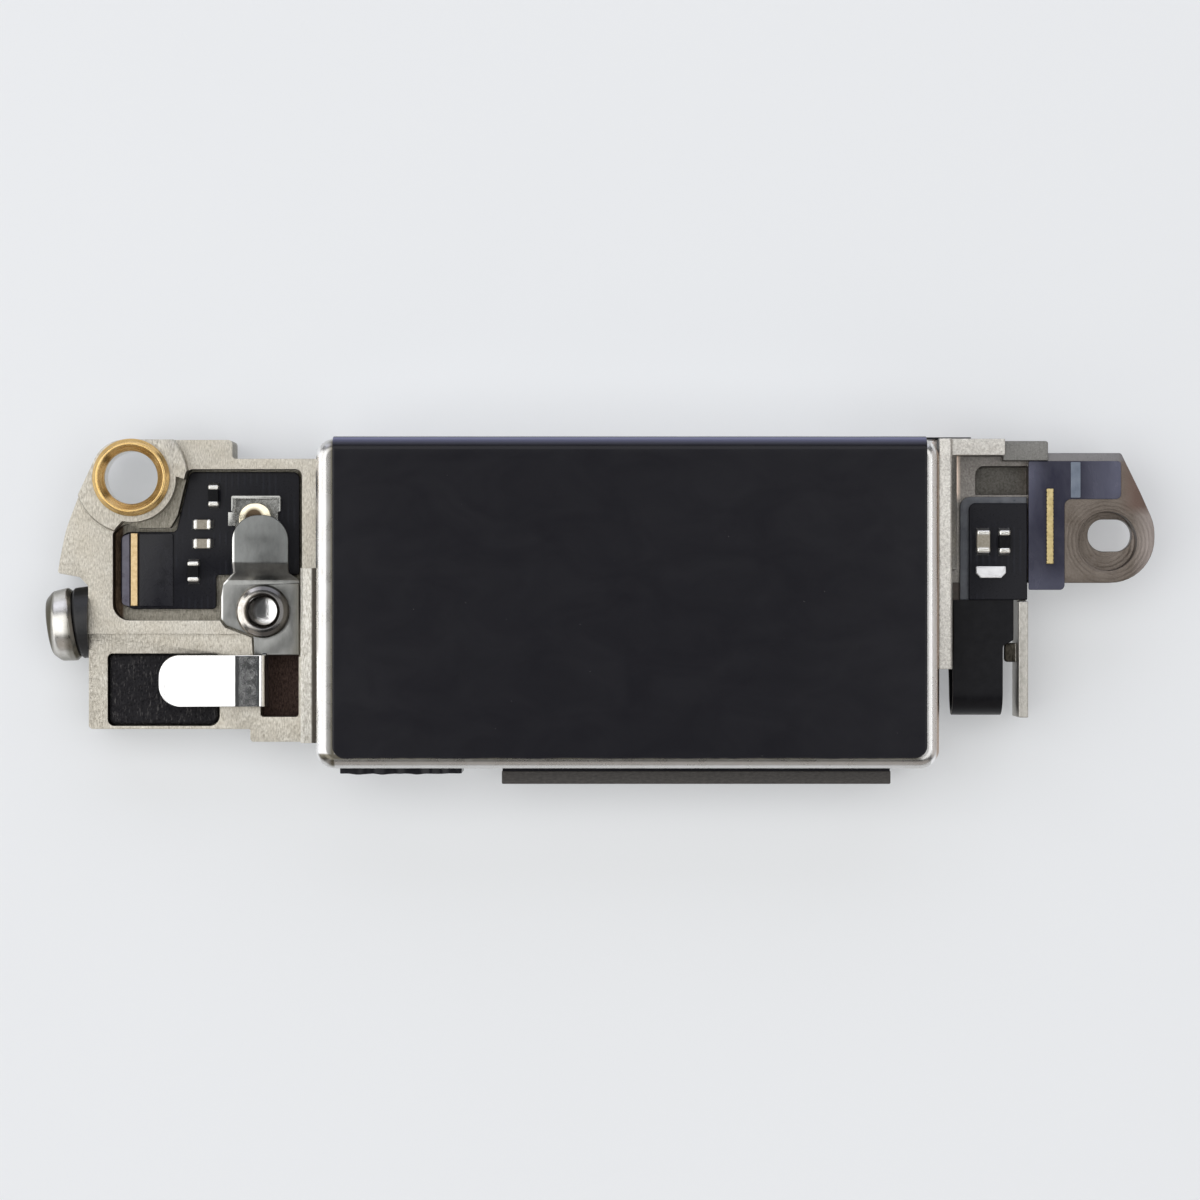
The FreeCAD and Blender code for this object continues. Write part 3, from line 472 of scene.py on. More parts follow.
def case_steel():
    """Drawn steel with a painted highlight along the lid's two short edges, painted brown reflection and shade on the
    steep part of the right edge, and darker on the lid at the film's left and lower edges.
    """
    p = Paint("case_steel", (0.80, 0.79, 0.77), METAL, 0.28)
    soft = p.grain(1.6, 4, distortion=0.4)
    on_lid = p.zone(z=(2.80, 2.88))
    edge_highlight = p.any_of(p.zone(x=(-9.02, -9.08)), p.zone(x=(8.92, 8.96)))
    left_rim = p.zone(x=(-8.88, -8.70, -8.60, -8.65))
    near_rim = p.zone(x=(8.7, 8.5), y=(-4.68, -4.56, -4.40, -4.45))
    p.color(p.over(
        p.tones(soft, (0.60, 0.59, 0.57), (0.68, 0.675, 0.665)),
        # painted highlight: near white on the lid's rounded short edges
        (p.all_of(edge_highlight, on_lid), (0.98, 0.975, 0.97)),
        # painted reflection and shade: brown on the steep part of the right edge
        (p.all_of(p.zone(x=(9.05, 9.14, 9.19, 9.17)), on_lid), (0.40, 0.29, 0.21)),
        # darker on the lid at the film's left and lower edges
        (p.all_of(p.any_of(left_rim, near_rim), p.zone(z=(3.0, 3.1))), (0.18, 0.165, 0.13)),
    ))
    p.rough_by(soft, 0.25, 0.31)
    p.bump(p.grain(26, 3), 0.00012)
    return p.material


def label_film():
    """Satin black film with faint smears and sparse dust, and a painted bluish glint along its bend."""
    p = Paint("label_film", (0.010, 0.010, 0.012), COAT, 0.2, Specular_IOR_Level=0.22)
    smear = p.grain(0.5, 4, (1, 1.6, 1), 0.4, 0.8)
    smear_range = (0.25, 0.8)
    # painted glint: bluish colour along the film's bend
    bend = p.all_of(p.math("POWER", p.zone(y=(4.62, 4.92)), 2.4), p.zone(z=(2.95, 3.08)))
    dust = p.all_of(p.remap(p.cells(3.3), 0.035, 0.0), p.remap(p.grain(1.1, 1), 0.60, 0.64))
    tone = p.blend(p.remap(smear, *smear_range), (0.0124, 0.0122, 0.0156), (0.0154, 0.0152, 0.0188))
    p.color(p.over(tone, (bend, (0.27, 0.28, 0.46)), (dust, (0.30, 0.29, 0.27))))
    p.rough(p.remap(smear, *smear_range, 0.18, 0.24))
    p.bump(p.grain(60, 2), 0.0003)
    return p.material


def blasted_metal():
    """Blasted grey-beige metal. Painted light: paler on the highest wall, near white in the bore below the bush.
    Painted shade: darker low down, in the spring's well, beside the screw and in the seam beside the case's wall.
    """
    p = Paint("blasted_metal", (0.60, 0.57, 0.52), METAL, 0.42)
    grit = p.grain(15, 5, (1.8, 0.55, 1), roughness=0.72)
    coarse = p.remap(grit, 0.30, 0.60)
    # painted shade in the gap beside the screw
    screw_gap_shade = p.zone(x=(-15.02, -15.10, -15.38, -15.36), y=(-0.7, -0.5), z=(0.6, 0.8, 1.97, 1.85))
    # painted shade in the spring's well
    spring_well_shade = p.zone(
        x=(-11.0, -10.95, -9.70, -9.75), y=(-3.46, -3.41, -1.40, -1.45), z=(0.70, 0.75, 1.18, 0.98)
    )
    # painted light: near white walls in the bore below the bush
    bore = p.remap(p.radius_from(*BUSH_AT), 1.07, 1.04)
    tone = p.tones(p.grain(1.1, 4, distortion=0.5), (0.585, 0.545, 0.465), (0.70, 0.67, 0.60))
    # painted light: paler on the highest wall
    tone = p.blend(p.zone(z=(2.4, 2.8)), tone, (0.76, 0.74, 0.68))
    p.color(p.over(
        p.blend(coarse, (0.345, 0.315, 0.26), tone),
        # painted shade: darker low down
        (p.zone(z=(1.80, 1.77)), p.blend(coarse, (0.16, 0.145, 0.115), (0.34, 0.32, 0.27))),
        # painted shade in the seam beside the case's wall
        (p.zone(x=(-9.35, -9.29), z=(2.5, 2.6)), (0.070, 0.062, 0.052)),
        (screw_gap_shade, p.blend(coarse, (0.035, 0.024, 0.016), (0.115, 0.082, 0.055))),
        (spring_well_shade, p.blend(coarse, (0.012, 0.008, 0.008), (0.075, 0.050, 0.042))),
        (bore, (0.93, 0.93, 0.93)),
    ))
    p.rough(p.all_of(p.remap(grit, *MIDDLE, 0.52, 0.36), p.remap(bore, 0.0, 1.0, 1.0, 0.4)))
    p.bump(grit, 0.016)
    p.bump(p.cells(11), 0.006)
    return p.material


def right_metal():
    """Blasted metal, painted darker the lower it lies as shade and paler the higher it lies as light: darkest on the
    floor, darker at the step, pale on the flange and arm; a painted pink highlight on the wall beside the flange;
    mottled brown-grey at the ear, with a painted highlight along its right end.
    """
    p = Paint("right_metal", (0.45, 0.42, 0.38), METAL, 0.42)
    grit = p.grain(15, 5, (1.2, 1, 1), roughness=0.75)
    coarse = p.remap(grit, 0.34, 0.62)
    mottle = p.remap(p.grain(1.5, 5, roughness=0.6), *MIDDLE)
    # painted shade: the floor darker the lower it lies
    floor = p.over(
        p.blend(coarse, (0.050, 0.047, 0.041), (0.110, 0.104, 0.094)),
        (p.zone(z=(1.60, 1.70)), p.blend(coarse, (0.135, 0.125, 0.115), (0.26, 0.245, 0.228))),
        # painted highlight: pink on the wall beside the flange
        (p.zone(x=(9.94, 9.84), y=(3.0, 3.3), z=(2.6, 2.5)), (0.80, 0.66, 0.56)),
    )
    ear = p.over(
        p.blend(mottle, (0.092, 0.074, 0.060), (0.190, 0.162, 0.138)),
        (p.all_of(coarse, 0.35), (0.24, 0.21, 0.185)),
        (p.zone(y=(4.18, 4.26)), (0.205, 0.200, 0.205)),
        # painted highlight: lighter along the ear's right end
        (p.all_of(p.zone(x=(15.0, 15.5)), 0.6), (0.40, 0.35, 0.33)),
        (p.zone(x=(14.6, 15.1), y=(2.6, 2.9)), (0.15, 0.105, 0.088)),
    )
    p.color(p.over(
        p.blend(p.zone(x=(11.6, 12.6)), floor, ear),
        # painted light and shade: paler the higher the face lies
        (p.zone(z=(2.1, 2.18)), p.blend(coarse, (0.145, 0.143, 0.134), (0.255, 0.25, 0.238))),
        (p.zone(z=(2.25, 2.6)), p.blend(coarse, (0.40, 0.378, 0.345), (0.74, 0.72, 0.67))),
    ))
    away = p.radius_from(*EAR_BORE_AT)
    rings = p.math("SINE", p.all_of(p.math("ADD", away, p.all_of(mottle, 0.05)), 52.0))
    p.rough(p.remap(mottle, 0.0, 1.0, 0.30, 0.46))
    p.bump(grit, 0.014)
    p.bump(p.all_of(rings, p.remap(away, 1.45, 1.2)), 0.0030)
    p.bump(mottle, 0.004)
    return p.material


def board_mask():
    """Black solder mask, faintly bluish, with fine straight tracks under it."""
    p = Paint("board_mask", (0.007, 0.007, 0.010), COAT, 0.3, Specular_IOR_Level=0.18)
    speckle = p.grain(24, 3)
    lanes = p.math("SINE", p.all_of(p.axis("x"), 34.0))
    tracks = p.all_of(p.remap(lanes, 0.35, 0.75), p.remap(p.grain(0.9, 1, (1, 1, 0)), 0.50, 0.56))
    tone = p.tones(speckle, (0.0055, 0.0055, 0.0085), (0.0095, 0.0095, 0.0140))
    p.color(p.blend(p.all_of(tracks, 0.30), tone, (0.022, 0.024, 0.034)))
    p.rough_by(speckle, 0.26, 0.36)
    p.bump(tracks, 0.0015)
    p.bump(speckle, 0.0008)
    return p.material


def foam_black():
    """Black fibrous pad with pale slanting hairs."""
    p = Paint("foam_black", (0.02, 0.02, 0.02), COAT, 0.7, Specular_IOR_Level=0.15)
    hairs = p.grain(13, 3, (1.6, 0.38, 1), 0.30, 0.3)
    pores = p.cells(12)
    tone = p.blend(p.remap(pores, 0.0, 0.5), (0.006, 0.006, 0.008), (0.017, 0.016, 0.018))
    p.color(p.blend(p.all_of(p.remap(hairs, 0.56, 0.74), 0.42), tone, (0.21, 0.20, 0.19)))
    p.bump(pores, 0.03)
    p.bump(hairs, 0.02)
    return p.material


def pad_grey():
    """Dark grey foam with a faint grain across its length."""
    p = Paint("pad_grey", (0.05, 0.046, 0.042), COAT, 0.55)
    grain = p.grain(18, 4, (0.4, 1, 1))
    p.color(p.tones(grain, (0.030, 0.027, 0.025), (0.070, 0.064, 0.058)))
    p.bump(grain, 0.006)
    return p.material


def clip_gold():
    """Bright gold with a dark spot of painted shade near the finger's tip, beside the tongue."""
    p = Paint("bright_gold", (0.95, 0.86, 0.64), METAL, 0.14)
    grain = p.grain(9, 3)
    # painted shade: a dark spot beside the tongue
    shade_spot = p.remap(p.radius_from(*CLIP_SHADE_AT), 0.32, 0.22)
    tone = p.tones(grain, (0.90, 0.80, 0.58), (0.98, 0.90, 0.70))
    p.color(p.blend(shade_spot, tone, (0.085, 0.060, 0.038)))
    return p.finished(grain, (0.14, 0.22), 0.001)


def bush_brass():
    """Turned brass, with painted light inside the bore: pale below the mouth."""
    p = Paint("bush_brass", (0.80, 0.60, 0.34), METAL, 0.25)
    turning = p.grain(4, 2, (0.4, 0.4, 6))
    brass = p.tones(turning, (0.66, 0.42, 0.15), (0.80, 0.57, 0.26))
    # painted light: pale colour inside the bore
    p.color(p.blend(p.zone(z=(2.44, 2.38)), brass, (0.90, 0.88, 0.84)))
    return p.finished(turning, (0.20, 0.30), 0.001)


def rippled_film(name, color, tone_of):
    """Glossy film with soft ripples; tone_of makes its clouds and its tone."""
    p = Paint(name, color, COAT, 0.22, Specular_IOR_Level=0.3)
    cloud, tone = tone_of(p)
    p.color(tone)
    p.rough_by(cloud, 0.18, 0.32)
    p.bump(p.grain(2.0, 2), 0.006)
    return p.material


FILM_CLOUD = (0.32, 0.68)


def dark_tone(p):
    """Near black with faint clouds."""
    cloud = p.grain(1.4, 4, (1, 0.6, 1), 0.3, 0.9)
    return cloud, p.blend(p.remap(cloud, *FILM_CLOUD), (0.003, 0.003, 0.006), (0.010, 0.010, 0.015))


def navy_tone(p):
    """Navy, paler at the film's two ends and along its lower rim."""
    cloud = p.grain(0.9, 5, (1, 0.6, 1), 0.3, 0.5)
    near_case = p.zone(x=(12.5, 11.95), y=(2.2, 3.4))
    ends = p.any_of(near_case, p.zone(x=(13.5, 14.4)), p.all_of(p.zone(y=(1.15, 0.5)), 0.6))
    ends = p.all_of(ends, p.remap(cloud, 0.3, 0.6, 0.55, 1.0))
    tone = p.blend(p.remap(cloud, *FILM_CLOUD), (0.020, 0.020, 0.040), (0.046, 0.047, 0.072))
    return cloud, p.blend(ends, tone, (0.100, 0.103, 0.150))


def screw_steel():
    """Satin steel with painted shade: dark brown at the head's outer rim, at its foot and low down."""
    p = Paint("screw_steel", (0.70, 0.68, 0.64), METAL, 0.3)
    grain = p.grain(5, 4)
    # painted shade: dark brown at the head's rim, its foot and its underside
    foot = p.all_of(p.zone(x=(-16.75, -16.58)), 0.75)
    brown = p.any_of(p.zone(x=(-17.02, -17.14)), foot, p.all_of(p.zone(z=(2.0, 1.6)), 0.7))
    tone = p.tones(grain, (0.62, 0.60, 0.55), (0.80, 0.78, 0.74))
    p.color(p.blend(brown, tone, (0.115, 0.105, 0.078)))
    return p.finished(grain, (0.26, 0.34), 0.0008)


def nut_steel():
    """Dull crown with painted shade on its side towards the case, and a polished blind hole with painted shade round
    its walls.
    """
    p = Paint("nut_steel", (0.5, 0.48, 0.45), METAL, 0.2)
    grain = p.grain(6, 4)
    away = p.radius_from(*NUT_AT)
    inside = p.remap(away, 0.52, 0.49)
    crown = p.tones(grain, (0.52, 0.48, 0.43), (0.74, 0.71, 0.66))
    # painted shade: the crown darker on its side towards the case
    crown = p.blend(p.zone(x=(-11.25, -10.85)), crown, (0.15, 0.145, 0.14))
    # painted shade: dark round the hole's walls
    hole = p.blend(p.remap(away, 0.40, 0.30), (0.20, 0.185, 0.17), (0.86, 0.85, 0.84))
    p.color(p.blend(inside, crown, hole))
    p.rough(p.remap(inside, 0.0, 1.0, 0.22, 0.12))
    p.bump(grain, 0.003)
    return p.material


def sheet_steel():
    """Satin sheet, painted darker on the raised tongue as shade, with a painted highlight along the left edges."""
    p = Paint("sheet_steel", (0.30, 0.31, 0.30), METAL, 0.3)
    grain = p.grain(5, 4, (1.4, 0.5, 1))
    slant = p.remap(p.math("SUBTRACT", p.axis("y"), p.axis("x")), 12.54, 12.59)
    slant_highlight = p.all_of(slant, p.zone(y=(0.95, 0.90)))
    # painted highlight: near white along the left edges
    edge = p.any_of(p.zone(x=(-12.02, -12.06)), slant_highlight, p.zone(x=(-11.64, -11.68), y=(0.90, 0.95)))
    low = p.tones(grain, (0.275, 0.275, 0.262), (0.355, 0.355, 0.340))
    # painted shade: the raised tongue darker
    high = p.tones(grain, (0.140, 0.144, 0.140), (0.185, 0.190, 0.186))
    p.color(p.over(low, (p.zone(z=(1.80, 1.95)), high), (edge, (0.95, 0.95, 0.92))))
    return p.finished(grain, (0.30, 0.36), 0.0003)


def leg_steel():
    """Blasted sheet, dark at the hook, which sits in the shade."""
    p = Paint("leg_steel", (0.5, 0.49, 0.45), METAL, 0.4)
    grain = p.grain(13, 4, (1.4, 0.7, 1))
    hook = p.tones(grain, (0.02, 0.018, 0.014), (0.09, 0.08, 0.065))
    tone = p.tones(grain, (0.36, 0.345, 0.31), (0.58, 0.56, 0.52))
    p.color(p.blend(p.zone(x=(11.61, 11.58)), tone, hook))
    return p.finished(grain, (0.34, 0.46), 0.006)


def floor_paint():
    """A pale light table: white paint with a faint glow of its own."""
    p = Paint("floor_paint", (0.56, 0.57, 0.58), COAT, 0.75)
    p.color(p.tones(p.grain(0.02, 3), (0.555, 0.565, 0.575), (0.57, 0.58, 0.59)))
    p.set("Emission Color", (0.96, 0.98, 1.0, 1.0))
    p.set("Emission Strength", 0.30)
    return p.material


M_CASE = case_steel()
M_LABEL = label_film()
M_BLASTED = blasted_metal()
M_RIGHT = right_metal()
M_BOARD = board_mask()
M_FOAM = foam_black()
M_PAD = pad_grey()
M_BRIGHT_GOLD = clip_gold()
M_BRASS = bush_brass()
M_FILM = rippled_film("shoulder_navy", (0.08, 0.08, 0.12), navy_tone)
M_DARK_FILM = rippled_film("dark_film", (0.010, 0.010, 0.015), dark_tone)
M_SHEET = sheet_steel()
M_NUT = nut_steel()
M_SCREW = screw_steel()
M_LEG = leg_steel()

# metals: dark tone, pale tone, features to a millimetre, roughness, relief in millimetres, stretch
M_BASE = plain("base_steel", METAL, (0.5, 0.5, 0.49), (0.7, 0.7, 0.69), 26, (0.28, 0.45), 0.003, (0.05, 1, 1))
M_GOLD = plain("gold", METAL, (0.62, 0.44, 0.22), (0.80, 0.62, 0.36), 9, (0.34, 0.42), 0.001, detail=3)
M_GOLD_RIGHT = plain("gold_right", METAL, (0.50, 0.39, 0.18), (0.68, 0.56, 0.29), 9, (0.34, 0.42), 0.001, detail=3)
M_MIRROR = plain("mirror_steel", METAL, (0.90, 0.90, 0.89), (0.97, 0.97, 0.96), 4, (0.05, 0.12), 0.0015)
M_TIN = plain("tin", METAL, (0.84, 0.82, 0.76), (0.97, 0.96, 0.91), 12, (0.30, 0.40))
M_CLIP = plain("clip_steel", METAL, (0.34, 0.34, 0.32), (0.46, 0.46, 0.44), 8, (0.22, 0.3), 0.0006)
M_TUNGSTEN = plain("tungsten", METAL, (0.24, 0.24, 0.25), (0.38, 0.38, 0.40), 12, (0.34, 0.5), 0.004)
M_MAGNET = plain("magnet_nickel", METAL, (0.52, 0.52, 0.51), (0.70, 0.69, 0.67), 10, (0.18, 0.3))
M_SPRING = plain("spring_steel", METAL, (0.50, 0.50, 0.49), (0.68, 0.68, 0.66), 14, (0.2, 0.34), 0.002, (1, 0.15, 1))
M_IRON = plain("soft_iron", METAL, (0.34, 0.34, 0.33), (0.48, 0.48, 0.46), 16, (0.35, 0.5), 0.002, (0.1, 1, 1))
M_COPPER = plain("copper_wire", METAL, (0.50, 0.20, 0.08), (0.80, 0.40, 0.20), 22, (0.25, 0.4), 0.02, (0.15, 0.15, 1))

# paints, plastics and ceramics: the same numbers
M_BRIGHT = plain("bright_cap", COAT, (0.86, 0.86, 0.87), (0.97, 0.97, 0.98), 5, (0.25, 0.35), 0.001)
M_CERAMIC = plain("chip_ceramic", COAT, (0.25, 0.22, 0.165), (0.38, 0.345, 0.28), 16, (0.35, 0.5))
M_CHIP = plain(
    "chip_black", COAT, (0.003, 0.003, 0.004), (0.007, 0.007, 0.008), 16, (0.3, 0.45), Specular_IOR_Level=0.12
)
M_COLLAR = plain("collar_black", COAT, (0.006, 0.006, 0.007), (0.016, 0.016, 0.017), 12, (0.35, 0.55), 0.004)
M_RUBBER = plain("bumper_rubber", COAT, (0.015, 0.015, 0.015), (0.03, 0.03, 0.03), 12, (0.6, 0.8), 0.006)
M_PALE = plain("pale_film", COAT, (0.060, 0.066, 0.080), (0.12, 0.128, 0.145), 3, (0.25, 0.4))
M_PALE_LEFT = plain("pale_film_left", COAT, (0.105, 0.100, 0.135), (0.175, 0.168, 0.215), 3, (0.25, 0.4))
M_STRIP = plain("pale_strip", COAT, (0.13, 0.16, 0.21), (0.19, 0.225, 0.28), 4, (0.3, 0.45))
M_AMBER = plain("film_edge", COAT, (0.035, 0.022, 0.015), (0.080, 0.055, 0.040), 6, (0.35, 0.5))
M_RIBBON = plain(
    "ribbon_black", COAT, (0.006, 0.006, 0.0075), (0.0095, 0.0095, 0.0115), 5, (0.3, 0.4), 0.001,
    Specular_IOR_Level=0.15,
)


# ---------------------------------------------------------------- case
HALF_X, HALF_Y, CASE_Z = 9.2, 4.87, 3.2
WALL = 0.2
CORNER_R = 0.6
LID_R = 0.35
TAIL_SLIT_Y = (-1.90, -1.00)
TAIL_SLIT_Z = (0.37, 0.57)


def case_levels(half_x, half_y, corner, top, lid_r, steps=10):
    """Rings of a rounded box from its foot to its lid."""
    levels = [(0.0, 0.0)]
    for k in range(steps + 1):
        angle = math.pi / 2 * k / steps
        levels.append((lid_r * (1 - math.cos(angle)), top - lid_r * (1 - math.sin(angle))))
    rings = []
    for d, z in levels:
        outline = rect(-half_x + d, half_x - d, -half_y + d, half_y - d, corner - d)
        rings.append([(x, y, z) for x, y in rounded(outline, step=7.5)])
    return rings


def case_cover():
    """Drawn cover: an outer and an inner skin joined at the foot."""
    outer = case_levels(HALF_X, HALF_Y, CORNER_R, CASE_Z, LID_R)
    inner = case_levels(HALF_X - WALL, HALF_Y - WALL, CORNER_R - WALL, CASE_Z - WALL, LID_R - WALL)
    build = Build().loft(inner[::-1] + outer)
    build.piece("case_cover", "can_cover", "case_steel", M_CASE, trim=cut_tail_slit)


def cut_tail_slit(shell):
    """A slit through the +X wall for the coil board's tail."""
    middle = Vector((HALF_X - WALL / 2, sum(TAIL_SLIT_Y) / 2, sum(TAIL_SLIT_Z) / 2)) * MM
    half = Vector((WALL, TAIL_SLIT_Y[1] - TAIL_SLIT_Y[0], TAIL_SLIT_Z[1] - TAIL_SLIT_Z[0])) * MM / 2

    def wall_faces():
        flat = [f for f in shell.faces if abs(f.normal.x) > 0.99]
        return [f for f in flat if f.calc_center_median().x > middle.x - WALL * MM]

    def in_slit(face):
        away = face.calc_center_median() - middle
        return abs(away.y) < half.y and abs(away.z) < half.z

    for axis in (1, 2):
        normal = Vector((0, 0, 0))
        normal[axis] = 1.0
        for side in (-1, 1):
            faces = wall_faces()
            corners = {v for f in faces for v in f.verts}
            edges = {e for f in faces for e in f.edges}
            geometry = [*corners, *edges, *faces]
            bmesh.ops.bisect_plane(shell, geom=geometry, plane_co=middle + side * half, plane_no=normal)
    bmesh.ops.delete(shell, geom=[f for f in wall_faces() if in_slit(f)], context="FACES")
    bmesh.ops.bridge_loops(shell, edges=[e for e in shell.edges if e.is_boundary])


LABEL_X = (-8.69, 8.82)
LABEL_Y0 = -4.58
LABEL_T = 0.06
LABEL_CORNER = 0.38
LABEL_RIM = 0.035
LABEL_COLUMNS = 160
LABEL_ROWS = (70, 10, 6)  # over the lid, round the bend, down the wall
SKIRT_Z = 2.3
EDGE_STEPS = [0.0, 0.012, 0.03, 0.06]
SIDE_STEPS = EDGE_STEPS + [0.1, 0.16, 0.23, 0.31, 0.4]
BEND_Y, BEND_Z = HALF_Y - LID_R, CASE_Z - LID_R
FLAT = BEND_Y - LABEL_Y0
ARC = LID_R * math.pi / 2
LABEL_LENGTH = FLAT + ARC + (BEND_Z - SKIRT_Z)


def label_at(s):
    """Point and outward direction at s along the film, from its lower edge."""
    if s <= FLAT:
        over = max(-BEND_Y - LABEL_Y0 - s, 0.0)
        return LABEL_Y0 + s, BEND_Z + math.sqrt(LID_R ** 2 - over ** 2), 0.0, 1.0
    if s <= FLAT + ARC:
        a = (s - FLAT) / LID_R
        return BEND_Y + LID_R * math.sin(a), BEND_Z + LID_R * math.cos(a), math.sin(a), math.cos(a)
    return HALF_Y, BEND_Z - (s - FLAT - ARC), 1.0, 0.0


def label_grid():
    """Places across and along the film, closer together at its edges."""
    width = LABEL_X[1] - LABEL_X[0]
    xs = [LABEL_X[0] + width * k / LABEL_COLUMNS for k in range(LABEL_COLUMNS + 1)]
    xs = [x for x in xs if LABEL_X[0] + 0.42 < x < LABEL_X[1] - 0.42]
    xs += [LABEL_X[0] + d for d in SIDE_STEPS] + [LABEL_X[1] - d for d in SIDE_STEPS]
    flat, bend, down = LABEL_ROWS
    stations = [FLAT * k / flat for k in range(flat)]
    stations += [FLAT + ARC * k / bend for k in range(bend)]
    stations += [FLAT + ARC + (LABEL_LENGTH - FLAT - ARC) * k / down for k in range(down + 1)]
    return sorted(set(xs)), EDGE_STEPS + [s for s in stations if s > 0.09]


def label():
    """Film over the lid, with a slightly wavy lower edge, round corners and thinned rims."""
    xs, stations = label_grid()
    top = []
    under = []
    for x in xs:
        side = min(x - LABEL_X[0], LABEL_X[1] - x)
        into_corner = LABEL_CORNER - min(side, LABEL_CORNER)
        curve = LABEL_CORNER - math.sqrt(max(LABEL_CORNER ** 2 - into_corner ** 2, 0.0))
        wave = 0.022 * noise.noise(Vector((x * 0.9, 3.1, 0))) + 0.012 * noise.noise(Vector((x * 3.7, 9.0, 0)))
        start = curve + max(wave + 0.015, 0.0)
        for s in stations:
            at = start + s * (LABEL_LENGTH - start) / LABEL_LENGTH
            y, z, ny, nz = label_at(at)
            rim = min(side, s, LABEL_LENGTH - s)
            height = LABEL_T * math.sqrt(max(1 - (1 - min(rim / LABEL_RIM, 1.0)) ** 2, 0.0))
            if rim > LABEL_RIM:
                ripple = 0.004 * noise.noise(Vector((x * 0.8, at * 0.8, 5.0))) * min(rim / 0.3, 1.0)
                height = min(height + ripple, LABEL_T)
            top.append((x, y + ny * height, z + nz * height))
            under.append((x, y, z))
    columns, rows = len(xs), len(stations)
    base = len(top)
    faces = []
    for a, b, c, d in grid_cells(columns, rows):
        faces += [(a, b, c, d), (base + d, base + c, base + b, base + a)]
    border = grid_border(columns, rows)
    for a, b in zip(border, border[1:] + border[:1]):
        faces.append((a, base + a, base + b, b))
    build = Build().add(top + under, faces)
    build.piece("label", "cover_label", "black_film", M_LABEL, trim=merge_doubles)


def merge_doubles(shell):
    """Joins the label's two skins where its rim thins to nothing."""
    bmesh.ops.remove_doubles(shell, verts=shell.verts, dist=1e-8)


PAD_X = (-3.73, 7.83)
PAD_Z = (0.5, 2.0)
PAD_OUT = 0.5
GLUE_OUT = 0.12
GLUE_INSET = 0.02


def side_pad():
    """Layered pad on the -Y wall: a dark glue line, then foam with softly rounded edges."""
    glue_plan = rect(PAD_X[0] + GLUE_INSET, PAD_X[1] - GLUE_INSET, PAD_Z[0] + GLUE_INSET, PAD_Z[1] - GLUE_INSET, 0.02)
    glue = Build().slab(glue_plan, 0.0, GLUE_OUT, 0.01)
    foam = Build().slab(rect(*PAD_X, *PAD_Z, 0.04), GLUE_OUT, PAD_OUT, 0.04, 0.02)
    for build, name, material, slot in (
        (glue, "side_pad_glue", M_LABEL, None),
        (foam, "side_pad_foam", M_PAD, "pad_foam"),
    ):
        build.verts = [(x, -HALF_Y - out, z) for x, z, out in build.verts]
        obj = build.piece(name, None, slot, material)
        if name == "side_pad_foam":
            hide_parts("long_side_pad")


TAPE_X = (-8.5, -4.9)
TAPE_Z = (0.6, 2.6)
TAPE_T = 0.2
TAPE_STEPS = 60
TAPE_RAG = 0.03


def short_tape():
    """Short tape with ragged rims and an uneven face."""
    xs = [TAPE_X[0] + (TAPE_X[1] - TAPE_X[0]) * k / TAPE_STEPS for k in range(TAPE_STEPS + 1)]
    low = [(x, TAPE_Z[0] + TAPE_RAG + TAPE_RAG * noise.noise(Vector((x * 4, 0, 0)))) for x in xs]
    top = [(x, TAPE_Z[1] - TAPE_RAG + TAPE_RAG * noise.noise(Vector((x * 3, 7, 0)))) for x in xs[::-1]]
    build = Build().slab(low + top, 0.0, TAPE_T, 0.03)
    verts = []
    for x, z, out in build.verts:
        wave = 1.0 + 0.25 * (noise.noise(Vector((x * 2.6, z, 2.0))) - 0.5)
        verts.append((x, -HALF_Y - min(out * wave, TAPE_T), z))
    build.verts = verts
    build.piece("short_tape", "short_side_tape", "pad_foam", M_LABEL)


# ---------------------------------------------------------------- left bracket parts
# profiles are (radius, height along the axis, corner radius)
BUSH_PROFILE = [
    (0.78, 1.60, 0.03), (0.95, 1.60, 0.03), (0.95, 2.35), (1.15, 2.35, 0.02), (1.15, 2.48, 0.05),
    (1.03, 2.60, 0.05), (0.97, 2.60, 0.03), (0.78, 2.41, 0.05),
]
NUT_PROFILE = [
    (0.0, 0.3), (0.66, 0.3, 0.04), (0.66, 1.3), (0.74, 1.3), (0.74, 1.70), (0.66, 1.70), (0.66, 1.85),
    (0.80, 1.85, 0.01), (0.80, 2.02, 0.04), (0.74, 2.10, 0.08), (0.64, 2.165, 0.15), (0.545, 2.20, 0.04),
    (0.47, 2.12, 0.04), (0.47, 0.90, 0.03), (0.0, 0.84),
]
HOLE_R = 0.47
THREAD_ROOT_R = 0.475
THREAD_DEPTH = 0.05
THREAD_TURNS = 4.4
THREAD_PITCH = 0.25
THREAD_STEPS = 48
THREAD_Z0 = 0.96


def bush():
    """Brass bush with a chamfered mouth."""
    place = Matrix.Translation((*BUSH_AT, 0))
    Build().turned(BUSH_PROFILE, place).piece("bush", "left_bush", "brass", M_BRASS)


